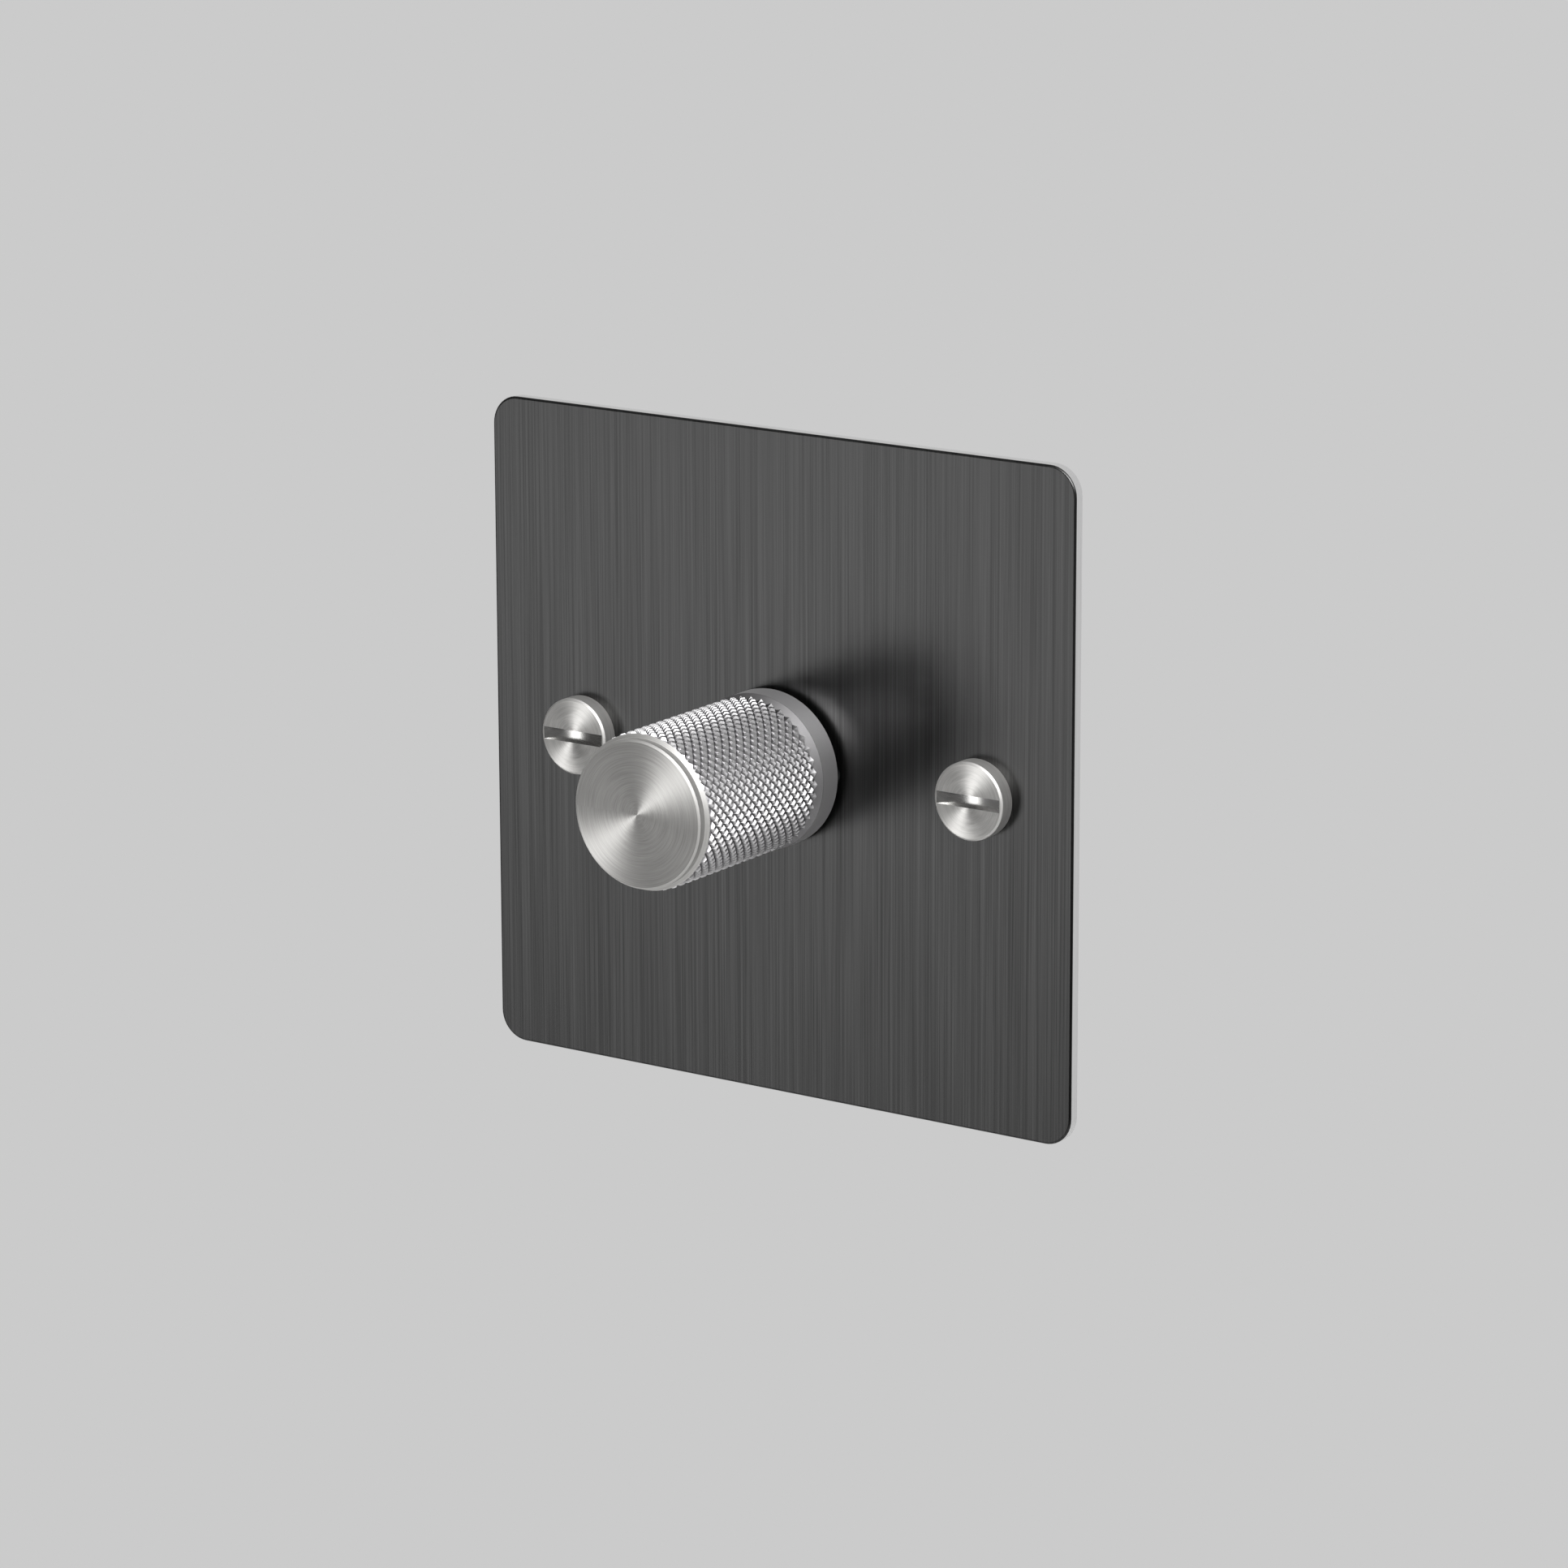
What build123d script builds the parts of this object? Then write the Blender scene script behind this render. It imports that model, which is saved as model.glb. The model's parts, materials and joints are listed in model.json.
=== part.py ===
"""A single-gang rotary dimmer switch: a flat metal plate, a knurled push-on push-off knob,
two coin-slot fixing screws, and the dimmer module that hangs behind the plate in the wall box.

Lengths are in millimetres. X runs across the plate, Z up, and +Y into the wall. The origin is
the middle of the plane where the plate's gasket lies on the wall, so what shows in the room
has a negative Y. The knob turns about the Y axis.
"""
import os
from math import cos, pi, radians, sin, sqrt

from build123d import *

# Clearances that are shared by many fits
running_gap = 0.05        # a round part that turns or slides in its guide, on the radius
seat_gap = 0.05           # a part fastened in its bore or on its thread, on the radius
side_gap = 0.3            # a board or block beside a moulded wall
part_gap = 1.0            # between neighbouring parts on the board
plain_hole_gap = 0.35     # a screw, peg or bush through a plain hole, on the radius

# Front plate and the gasket behind it
plate_width = 88.0
plate_height = 86.0
plate_thickness = 1.5
plate_corner = 3.8
plate_edge_break = 0.3
gasket_thickness = 0.8
gasket_inset = 1.0
gasket_window = 70.0
gasket_window_corner = 5.0

# Fixing screws, at the standard spacing of a single wall box
fixing_pitch = 60.3
fixing_head_radius = 5.0
fixing_head_height = 2.3
fixing_head_chamfer = 0.25
fixing_slot_width = 1.6
fixing_slot_depth = 1.1
fixing_slot_rim = 0.4
fixing_neck_radius = 1.5
fixing_neck_length = 6.0
fixing_thread_radius = 1.75
fixing_length = 18.0
fixing_point = 0.8

# Heat spreader, the aluminium plate that the module is built on
spreader_width = 54.0
spreader_height = 60.0
spreader_thickness = 1.5
spreader_corner = 3.0

# Threaded bush, its washer and its nut
bush_radius = 4.9
bush_flange_radius = 7.0
bush_flange = 1.5
bush_end_chamfer = 0.5
bush_past_nut = 0.9
washer_radius = 7.0
washer_thickness = 0.8
nut_across_flats = 13.0
nut_thickness = 2.5
nut_chamfer = 0.4

# Module housing and its rear cover
housing_width = 46.0
housing_height = 44.0
housing_depth = 23.3
housing_wall = 1.6
housing_corner = 3.0
cover_thickness = 1.6
cover_edge_break = 0.5
peg_radius = 1.2
peg_distance = 8.4
peg_recess = 0.3
boss_radius = 2.4
boss_inset_x = 4.6
boss_inset_z = 4.6

# Cover screws
cover_screw_radius = 1.25
cover_screw_bite = 5.5
cover_screw_head_radius = 2.4
cover_screw_head = 1.1
cross_recess_radius = 1.2
cross_recess_depth = 0.6

# Circuit board
board_thickness = 1.6
board_front = 10.6

# Potentiometer: steel case, carbon track disc, wiper carrier and wiper
case_radius = 8.5
case_wall = 0.5
case_mouth_radius = 5.2
track_thickness = 1.6
track_bore_radius = 2.9
carrier_radius = 6.6
carrier_thickness = 2.0
carrier_tab_reach = 1.1
carrier_tab_angle = 30.0
stop_lug_angle = 59.0
carrier_gap = 0.3
wiper_thickness = 0.25
wiper_inner_radius = 3.6
wiper_outer_radius = 5.6
finger_radius = 0.6
finger_gap = 0.3

# Knob shaft and its clip
shaft_radius = 3.0
shaft_flat = 2.5
shaft_tail_radius = 2.5
shaft_tail_flat = 1.9
shaft_tail_reach = 0.4
shaft_groove_radius = 2.1
clip_thickness = 0.6
clip_radius = 4.6
clip_opening = 3.4
push_travel = 0.7

# Knob grip, end cap and grub screw
knob_stand_off = 1.0
grip_reach = 28.45
base_radius = 10.1
base_band = 3.4
base_bevel = 1.2
base_bevel_radius = 9.35
base_edge_break = 0.2
knurl_crest_radius = 10.0
knurl_depth = 0.5
knurl_starts = 40
knurl_rows = 30
grip_chamfer = 0.6
nut_pocket_radius = 8.2
nut_pocket_clearance = 1.0
shaft_bite = 19.0
cap_radius = 9.4
cap_edge_bevel = 0.25
cap_band = 1.15
cap_shoulder_radius = 9.85
cap_shoulder = 0.45
seam_width = 0.15
seam_depth = 0.65
spigot_radius = 7.2
spigot_length = 3.0
spigot_end_gap = 0.1
grub_radius = 1.5
grub_length = 6.0
grub_setback = 5.0
grub_spot_radius = 2.3
grub_spot_depth = 0.7
grub_hex = 1.5
grub_hex_depth = 1.6

# Push switch behind the board
switch_size = 13.0
switch_depth = 7.2
switch_front_wall = 0.8
switch_cavity_x = 10.0
switch_cavity_z = 6.6
switch_base_thickness = 1.2
plunger_radius = 1.9
plunger_flange_radius = 2.9
plunger_flange = 0.8
plunger_pin_radius = 1.2
plunger_pin_length = 2.6
bridge_length = 9.0
bridge_height = 1.8
bridge_thickness = 0.5
bridge_open_gap = 0.8
blade_thickness = 0.8
blade_height = 1.8
spring_radius = 2.0
spring_wire_radius = 0.25
spring_turns = 5

# Power stage and suppression parts
triac_width = 10.0
triac_body_height = 9.0
triac_body_depth = 4.4
triac_tab_height = 6.5
triac_tab_thickness = 1.3
triac_hole_radius = 1.8
triac_hole_from_top = 3.0
triac_leg_pitch = 2.54
triac_leg_width = 0.8
triac_leg_thickness = 0.5
triac_leg_drop = 3.0
triac_leg_depth = 2.4
triac_leg_gap = 0.25
leg_past_board = 1.0
triac_screw_radius = 1.25
triac_screw_head_radius = 2.6
triac_screw_head = 1.6
triac_screw_dome = 0.7
choke_z = 5.0
choke_outer_radius = 5.6
choke_inner_radius = 3.2
choke_height = 5.0
winding_thickness = 0.8
winding_angle = 300.0
capacitor_width = 13.0
capacitor_depth = 10.0
capacitor_corner = 0.5

# Terminals at the foot of the module, drawn open, with each screw clear of its wire hole
terminal_count = 3
terminal_pitch = 9.6
terminal_block_height = 10.5
terminal_block_wall = 1.3
clamp_width = 6.6
clamp_height = 7.6
clamp_depth = 7.4
clamp_floor = 1.4
wire_hole_radius = 1.9
wire_hole_share = 0.4      # how deep in its clamp a wire hole lies, as a share of the clamp's depth
terminal_screw_radius = 1.5
terminal_screw_head_radius = 1.9
terminal_screw_head = 1.5
terminal_slot = 0.6
screwdriver_hole_radius = 2.3

# Earth terminal on the heat spreader
earth_width = 9.0
earth_height = 6.8
earth_depth = 8.0
earth_hole_radius = 1.9
earth_screw_radius = 1.75
earth_screw_head_radius = 2.9
earth_screw_head = 1.6

# Depths of the stack, worked out from the wall towards the room and into the box
wall = 0.0
plate_back = wall - gasket_thickness
plate_front = plate_back - plate_thickness
spreader_back = plate_back + spreader_thickness
housing_inside = spreader_back + housing_wall
housing_back = spreader_back + housing_depth
cover_back = housing_back + cover_thickness
flange_back = housing_inside + bush_flange
washer_front = plate_front - washer_thickness
nut_front = washer_front - nut_thickness
bush_front = nut_front - bush_past_nut
board_back = board_front + board_thickness
knob_back = plate_front - knob_stand_off
grip_front = plate_front - grip_reach
knurl_back = knob_back - base_band - base_bevel
fixing_head_front = plate_front - fixing_head_height
housing_inner_width = housing_width - 2 * housing_wall
housing_inner_height = housing_height - 2 * housing_wall
boss_x = housing_width / 2 - boss_inset_x
boss_z = housing_height / 2 - boss_inset_z
board_width = housing_inner_width - 2 * side_gap
board_height = housing_inner_height - 2 * side_gap
under_bosses = boss_z - boss_radius - part_gap
triac_x = -(case_radius + part_gap / 2 + triac_width / 2)
triac_top = under_bosses
choke_x = switch_size / 2 + part_gap + choke_outer_radius + winding_thickness
capacitor_x = -(board_width / 2 - part_gap - capacitor_width / 2)
capacitor_foot = switch_size / 2 + part_gap
capacitor_height = under_bosses - capacitor_foot
capacitor_z = capacitor_foot + capacitor_height / 2
peg_place = (peg_distance, 0.0)
boss_places = [(x, z) for x in (-boss_x, boss_x) for z in (-boss_z, boss_z)]

os.makedirs("parts", exist_ok=True)


def facing(depth):
    """The plane at one depth that faces the room: its x is X and its y is Z.

    A positive extrusion comes out into the room, and a negative one runs into the wall.
    """
    return Plane.XZ.offset(-depth)


def turning_axis(x=0.0, z=0.0):
    """A line through the plate at x and z, along Y."""
    return Axis((x, 0, z), (0, 1, 0))


def half_section(points, x=0.0, z=0.0):
    """A closed outline of (radius, depth) points beside the line along Y at x and z."""
    with BuildSketch(Plane(origin=(x, 0, z))) as section:
        with BuildLine():
            Polyline(*points, close=True)
        make_face()
    return section.sketch


def save(piece, name):
    """Label a finished piece and write its STEP file."""
    piece.label = name
    export_step(piece, f"parts/{name}.step")


# Wall gasket: a thin rubber frame between the plate and the wall
with BuildPart() as wall_gasket:
    with BuildSketch(facing(plate_back)):
        RectangleRounded(
            plate_width - 2 * gasket_inset, plate_height - 2 * gasket_inset, plate_corner - gasket_inset
        )
        RectangleRounded(gasket_window, gasket_window, gasket_window_corner, mode=Mode.SUBTRACT)
    extrude(amount=-gasket_thickness)
save(wall_gasket.part, "wall_gasket")


# Front plate: a flat sheet with a broken front edge, and holes for bush, peg and screws
with BuildPart() as front_plate:
    with BuildSketch(facing(plate_back)):
        RectangleRounded(plate_width, plate_height, plate_corner)
        Circle(bush_radius + plain_hole_gap / 2, mode=Mode.SUBTRACT)
        with Locations(peg_place):
            Circle(peg_radius + running_gap, mode=Mode.SUBTRACT)
        with GridLocations(fixing_pitch, 0, 2, 1):
            Circle(fixing_thread_radius + plain_hole_gap, mode=Mode.SUBTRACT)
    extrude(amount=plate_thickness)
    rim = front_plate.faces().sort_by(Axis.Y)[0].outer_wire().edges()
    fillet(rim, plate_edge_break)
save(front_plate.part, "front_plate")


def fixing_screw(x):
    """A coin-slot screw: turned head, slot cut by a plunged disc cutter, thin neck and thread."""
    neck_end = plate_front + fixing_neck_length
    tip = plate_front + fixing_length
    slot_length = 2 * (fixing_head_radius - fixing_slot_rim)
    cutter_radius = ((slot_length / 2) ** 2 + fixing_slot_depth**2) / (2 * fixing_slot_depth)
    with BuildPart() as screw:
        revolve(
            half_section(
                [
                    (0, fixing_head_front),
                    (fixing_head_radius - fixing_head_chamfer, fixing_head_front),
                    (fixing_head_radius, fixing_head_front + fixing_head_chamfer),
                    (fixing_head_radius, plate_front),
                    (fixing_neck_radius, plate_front),
                    (fixing_neck_radius, neck_end),
                    (fixing_thread_radius, neck_end),
                    (fixing_thread_radius, tip - fixing_point),
                    (fixing_thread_radius - fixing_point / 2, tip),
                    (0, tip),
                ],
                x,
            ),
            axis=turning_axis(x),
        )
        with Locations((x, fixing_head_front + fixing_slot_depth - cutter_radius, 0)):
            Cylinder(cutter_radius, fixing_slot_width, mode=Mode.SUBTRACT)
    return screw.part


save(fixing_screw(-fixing_pitch / 2), "fixing_screw_left")
save(fixing_screw(fixing_pitch / 2), "fixing_screw_right")


# Heat spreader: carries the triac and the earth terminal, and lies on the plate's back
earth_z = housing_height / 2 + side_gap + earth_height / 2
triac_screw_z = triac_top - triac_hole_from_top
with BuildPart() as heat_spreader:
    with BuildSketch(facing(spreader_back)):
        RectangleRounded(spreader_width, spreader_height, spreader_corner)
        Circle(bush_radius + plain_hole_gap / 2, mode=Mode.SUBTRACT)
        with Locations(peg_place):
            Circle(peg_radius + running_gap, mode=Mode.SUBTRACT)
        with Locations((triac_x, triac_screw_z)):
            Circle(triac_screw_radius + seat_gap, mode=Mode.SUBTRACT)
    extrude(amount=spreader_thickness)
save(heat_spreader.part, "heat_spreader")


# Control bush: the flange pulls the housing, spreader and plate together against the nut
with BuildPart() as control_bush:
    bore_radius = shaft_radius + running_gap
    revolve(
        half_section(
            [
                (bore_radius, bush_front),
                (bush_radius - bush_end_chamfer, bush_front),
                (bush_radius, bush_front + bush_end_chamfer),
                (bush_radius, housing_inside),
                (bush_flange_radius, housing_inside),
                (bush_flange_radius, flange_back),
                (bore_radius, flange_back),
            ]
        ),
        axis=turning_axis(),
    )
save(control_bush.part, "control_bush")


# Lock washer: a plain spring ring with one radial cut
with BuildPart() as lock_washer:
    with BuildSketch(facing(plate_front)):
        Circle(washer_radius)
        Circle(bush_radius + plain_hole_gap / 2, mode=Mode.SUBTRACT)
        with Locations((-washer_radius, 0)):
            Rectangle(washer_radius, washer_thickness, mode=Mode.SUBTRACT)
    extrude(amount=washer_thickness)
save(lock_washer.part, "lock_washer")


# Bush nut: a hexagon with its front corners turned off
with BuildPart() as bush_nut:
    nut_corner_radius = nut_across_flats / sqrt(3)
    with BuildSketch(facing(washer_front)):
        RegularPolygon(nut_across_flats / 2, 6, major_radius=False)
        Circle(bush_radius + seat_gap, mode=Mode.SUBTRACT)
    extrude(amount=nut_thickness)
    revolve(
        half_section(
            [
                (nut_corner_radius - 2 * nut_chamfer, nut_front),
                (nut_corner_radius + nut_chamfer, nut_front),
                (nut_corner_radius + nut_chamfer, nut_front + nut_chamfer),
                (nut_corner_radius, nut_front + nut_chamfer),
            ]
        ),
        axis=turning_axis(),
        mode=Mode.SUBTRACT,
    )
save(bush_nut.part, "bush_nut")


# Terminal places, shared by the housing, block, clamps, screws and cover
first_terminal = -(terminal_count - 1) / 2 * terminal_pitch
terminal_xs = [first_terminal + index * terminal_pitch for index in range(terminal_count)]
block_foot = -board_height / 2
block_z = block_foot + terminal_block_height / 2
clamp_z = block_foot + terminal_block_wall + clamp_height / 2
clamp_front = board_back + clamp_floor
clamp_back = clamp_front + clamp_depth
wire_depth = clamp_front + wire_hole_share * clamp_depth

# Window in the housing's front wall, through which the triac lies on the spreader
window_margin = 0.6
triac_foot = triac_top - triac_tab_height - triac_body_height
window_height = triac_tab_height + triac_body_height + 2 * window_margin


# Module housing: a moulded tray, open at the back
with BuildPart() as module_housing:
    with BuildSketch(facing(spreader_back)):
        RectangleRounded(housing_width, housing_height, housing_corner)
    extrude(amount=-housing_depth)
    with BuildSketch(facing(housing_inside)):
        RectangleRounded(housing_inner_width, housing_inner_height, housing_corner - housing_wall)
    extrude(amount=-housing_depth, mode=Mode.SUBTRACT)
    with BuildSketch(facing(housing_inside)):
        with Locations(*boss_places):
            Circle(boss_radius)
    extrude(amount=-(board_front - housing_inside))
    with BuildSketch(facing(spreader_back)):
        with Locations(peg_place):
            Circle(peg_radius)
    extrude(amount=spreader_back - plate_front - peg_recess)
    with BuildSketch(facing(spreader_back)):
        Circle(bush_radius + plain_hole_gap / 2)
        with Locations((triac_x, (triac_top + triac_foot) / 2)):
            Rectangle(triac_width + 2 * window_margin, window_height)
    extrude(amount=-housing_wall, mode=Mode.SUBTRACT)
    with BuildSketch(facing(board_front)):
        with Locations(*boss_places):
            Circle(cover_screw_radius + seat_gap)
    extrude(amount=cover_screw_bite + side_gap, mode=Mode.SUBTRACT)
    with BuildSketch(Plane.XY.offset(-housing_height / 2)):
        with Locations(*[(x, wire_depth) for x in terminal_xs]):
            Circle(wire_hole_radius)
    extrude(amount=housing_wall, mode=Mode.SUBTRACT)
save(module_housing.part, "module_housing")


# Rear cover: a plate with tubular posts that hold the board on the housing's bosses
with BuildPart() as rear_cover:
    with BuildSketch(facing(housing_back)):
        RectangleRounded(housing_width, housing_height, housing_corner)
    extrude(amount=-cover_thickness)
    chamfer(rear_cover.faces().sort_by(Axis.Y)[-1].outer_wire().edges(), cover_edge_break)
    with BuildSketch(facing(housing_back)):
        with Locations(*boss_places):
            Circle(boss_radius)
    extrude(amount=housing_back - board_back)
    with BuildSketch(facing(cover_back)):
        with Locations(*boss_places):
            Circle(cover_screw_radius + running_gap * 2)
        with Locations(*[(x, clamp_z) for x in terminal_xs]):
            Circle(screwdriver_hole_radius)
    extrude(amount=cover_back - board_back, mode=Mode.SUBTRACT)
    with BuildSketch(facing(cover_back)):
        with Locations(*boss_places):
            Circle(cover_screw_head_radius + seat_gap)
    extrude(amount=cover_screw_head, mode=Mode.SUBTRACT)
save(rear_cover.part, "rear_cover")


# Cover screws: four alike, through cover and board into the bosses
with BuildPart() as cover_screws:
    head_floor = cover_back - cover_screw_head
    screw_tip = board_front - cover_screw_bite
    for boss in boss_places:
        revolve(
            half_section(
                [
                    (0, cover_back),
                    (cover_screw_head_radius - cover_screw_head / 4, cover_back),
                    (cover_screw_head_radius, cover_back - cover_screw_head / 4),
                    (cover_screw_head_radius, head_floor),
                    (cover_screw_radius, head_floor),
                    (cover_screw_radius, screw_tip + cover_screw_radius),
                    (0, screw_tip),
                ],
                *boss,
            ),
            axis=turning_axis(*boss),
        )
    with BuildSketch(facing(cover_back)):
        with Locations(*boss_places):
            Rectangle(2 * cross_recess_radius, terminal_slot)
            Rectangle(terminal_slot, 2 * cross_recess_radius)
    extrude(amount=cross_recess_depth, mode=Mode.SUBTRACT)
save(cover_screws.part, "cover_screws")


# Circuit board: held between bosses and posts, with holes for plunger, screws and legs
triac_leg_z = triac_foot - triac_leg_drop
triac_leg_xs = [triac_x - triac_leg_pitch, triac_x, triac_x + triac_leg_pitch]
leg_hole_radius = triac_leg_width / 2 + triac_leg_gap
with BuildPart() as circuit_board:
    with BuildSketch(facing(board_front)):
        RectangleRounded(board_width, board_height, housing_corner - housing_wall)
        Circle(plunger_radius + plain_hole_gap, mode=Mode.SUBTRACT)
        with Locations(*boss_places):
            Circle(cover_screw_radius + running_gap * 2, mode=Mode.SUBTRACT)
        with Locations(*[(x, triac_leg_z) for x in triac_leg_xs]):
            Circle(leg_hole_radius, mode=Mode.SUBTRACT)
    extrude(amount=-board_thickness)
save(circuit_board.part, "circuit_board")


# Potentiometer case: a drawn can between the bush flange and the board, with a stop lug at its foot
case_inner_radius = case_radius - case_wall
track_front = board_front - track_thickness
with BuildPart() as pot_case:
    revolve(
        half_section(
            [
                (case_mouth_radius, flange_back),
                (case_radius, flange_back),
                (case_radius, board_front),
                (case_inner_radius, board_front),
                (case_inner_radius, flange_back + case_wall),
                (case_mouth_radius, flange_back + case_wall),
            ]
        ),
        axis=turning_axis(),
    )
    lug_inner_radius = carrier_radius + carrier_gap
    with BuildSketch(facing(flange_back + case_wall)):
        with BuildLine():
            start = -90 - stop_lug_angle / 2
            outer = CenterArc((0, 0), case_inner_radius + case_wall / 2, start, stop_lug_angle)
            inner = CenterArc((0, 0), lug_inner_radius, start, stop_lug_angle)
            Line(outer @ 0, inner @ 0)
            Line(outer @ 1, inner @ 1)
        make_face()
    extrude(amount=-(track_front - flange_back - case_wall))
save(pot_case.part, "pot_case")


# Track disc: the wafer that carries the carbon track
with BuildPart() as track_disc:
    with BuildSketch(facing(track_front)):
        Circle(case_inner_radius - seat_gap)
        Circle(track_bore_radius, mode=Mode.SUBTRACT)
    extrude(amount=-track_thickness)
save(track_disc.part, "track_disc")


# Wiper carrier: turned by the shaft's flat tail, which slides through it
wiper_back = track_front - finger_gap
clip_front = flange_back + running_gap
carrier_front = clip_front + clip_thickness + push_travel + carrier_gap
carrier_back = carrier_front + carrier_thickness
with BuildPart() as wiper_carrier:
    with BuildSketch(facing(carrier_front)):
        Circle(carrier_radius)
        with BuildLine():
            start = 90 - carrier_tab_angle / 2
            outer = CenterArc((0, 0), carrier_radius + carrier_tab_reach, start, carrier_tab_angle)
            inner = CenterArc((0, 0), carrier_radius / 2, start, carrier_tab_angle)
            Line(outer @ 0, inner @ 0)
            Line(outer @ 1, inner @ 1)
        make_face()
    extrude(amount=-carrier_thickness)
    with BuildSketch(facing(carrier_front)):
        Circle(shaft_tail_radius + running_gap)
        with Locations((0, -(shaft_tail_flat + running_gap))):
            Rectangle(
                4 * shaft_tail_radius,
                2 * shaft_tail_radius,
                align=(Align.CENTER, Align.MAX),
                mode=Mode.SUBTRACT,
            )
    extrude(amount=-carrier_thickness, mode=Mode.SUBTRACT)
save(wiper_carrier.part, "wiper_carrier")


# Wiper: a bronze ring with two contact fingers that run on the track
with BuildPart() as wiper_contact:
    finger_circle = (wiper_inner_radius + wiper_outer_radius) / 2
    with BuildSketch(facing(carrier_back)):
        Circle(wiper_outer_radius)
        Circle(wiper_inner_radius, mode=Mode.SUBTRACT)
    extrude(amount=-wiper_thickness)
    with BuildSketch(facing(carrier_back)):
        with PolarLocations(finger_circle, 2, start_angle=90, angular_range=50):
            Circle(finger_radius)
    extrude(amount=-(wiper_back - carrier_back))
save(wiper_contact.part, "wiper_contact")


# Knob shaft: round in the bush, flat where the grub screw bites and where the carrier drives
shaft_front = nut_front - bush_past_nut - nut_pocket_clearance - shaft_bite
tail_end = track_front + shaft_tail_reach
with BuildPart() as control_shaft:
    revolve(
        half_section(
            [
                (0, shaft_front),
                (shaft_radius - bush_end_chamfer, shaft_front),
                (shaft_radius, shaft_front + bush_end_chamfer),
                (shaft_radius, flange_back),
                (shaft_groove_radius, flange_back),
                (shaft_groove_radius, clip_front + clip_thickness + running_gap),
                (shaft_tail_radius, clip_front + clip_thickness + running_gap),
                (shaft_tail_radius, tail_end),
                (0, tail_end),
            ]
        ),
        axis=turning_axis(),
    )
    flat_end = bush_front - nut_pocket_clearance
    with Locations((0, shaft_front, -shaft_flat)):
        Box(
            2 * shaft_radius,
            flat_end - shaft_front,
            shaft_radius,
            align=(Align.CENTER, Align.MIN, Align.MAX),
            mode=Mode.SUBTRACT,
        )
    with Locations((0, clip_front + clip_thickness + running_gap, -shaft_tail_flat)):
        Box(
            2 * shaft_radius,
            tail_end - clip_front,
            shaft_radius,
            align=(Align.CENTER, Align.MIN, Align.MAX),
            mode=Mode.SUBTRACT,
        )
save(control_shaft.part, "control_shaft")


# Shaft clip: an open ring in the shaft's groove, which stops the shaft at the bush flange
with BuildPart() as shaft_clip:
    with BuildSketch(facing(clip_front)):
        Circle(clip_radius)
        Circle(shaft_groove_radius + seat_gap, mode=Mode.SUBTRACT)
        Rectangle(clip_opening, clip_radius, align=(Align.CENTER, Align.MIN), mode=Mode.SUBTRACT)
    extrude(amount=-clip_thickness)
save(shaft_clip.part, "shaft_clip")


def knurl_point(row, step):
    """A corner of the knurl: a crest where row and step add up to an even number, else a root."""
    radius = knurl_crest_radius - (row + step) % 2 * knurl_depth
    angle = step * pi / knurl_starts
    depth = knurl_back + (grip_front - knurl_back) * row / knurl_rows
    return Vector(radius * cos(angle), depth, radius * sin(angle))


def knurled_bar():
    """A bar with a cross knurl: two sets of V grooves that cross, and leave a pyramid at each crest."""
    steps = 2 * knurl_starts
    facets = []
    for row in range(knurl_rows):
        for step in range(steps):
            corners = [
                knurl_point(row, step),
                knurl_point(row, step + 1),
                knurl_point(row + 1, step + 1),
                knurl_point(row + 1, step),
            ]
            # the groove runs from root to root, so it is the fold between the two facets
            first_root = (row + step + 1) % 2
            a, b, c, d = corners[first_root:] + corners[:first_root]
            facets.append(Face(Wire.make_polygon([a, b, c])))
            facets.append(Face(Wire.make_polygon([c, d, a])))
    for row in (0, knurl_rows):
        facets.append(Face(Wire.make_polygon([knurl_point(row, step) for step in range(steps)])))
    return Solid(Shell(facets))


# Knob grip cuts: front chamfer, nut pocket, shaft bore, cap seat and grub screw hole, cut in one go
shaft_bore_end = shaft_front - running_gap
pocket_floor = bush_front - nut_pocket_clearance
grub_y = pocket_floor - grub_setback
beyond_grip = knurl_crest_radius + grip_chamfer
with BuildPart() as grip_cuts:
    revolve(
        half_section(
            [
                (knurl_crest_radius - grip_chamfer, grip_front),
                (beyond_grip, grip_front),
                (beyond_grip, grip_front + 2 * grip_chamfer),
            ]
        ),
        axis=turning_axis(),
    )
    revolve(
        half_section(
            [
                (0, knob_back),
                (nut_pocket_radius, knob_back),
                (nut_pocket_radius, pocket_floor),
                (shaft_radius + running_gap, pocket_floor),
                (shaft_radius + running_gap, shaft_bore_end),
                (0, shaft_bore_end),
            ]
        ),
        axis=turning_axis(),
    )
    with BuildSketch(facing(grip_front)):
        Circle(spigot_radius + seat_gap)
    extrude(amount=-(spigot_length + spigot_end_gap))
    with BuildSketch(Plane.XY.offset(-beyond_grip)):
        with Locations((0, grub_y)):
            Circle(grub_radius + seat_gap)
    extrude(amount=beyond_grip)
    with BuildSketch(Plane.XY.offset(-beyond_grip)):
        with Locations((0, grub_y)):
            Circle(grub_spot_radius)
    extrude(amount=grip_chamfer + grub_spot_depth)


# Knob grip: one turned and knurled piece, with a pocket that hides the nut
with BuildPart() as knob_grip:
    add(knurled_bar())
    revolve(
        half_section(
            [
                (0, knurl_back),
                (base_bevel_radius, knurl_back),
                (base_radius, knurl_back + base_bevel),
                (base_radius, knob_back - base_edge_break),
                (base_radius - base_edge_break, knob_back),
                (0, knob_back),
            ]
        ),
        axis=turning_axis(),
    )
    add(grip_cuts.part, mode=Mode.SUBTRACT)
save(knob_grip.part, "knob_grip")


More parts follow.
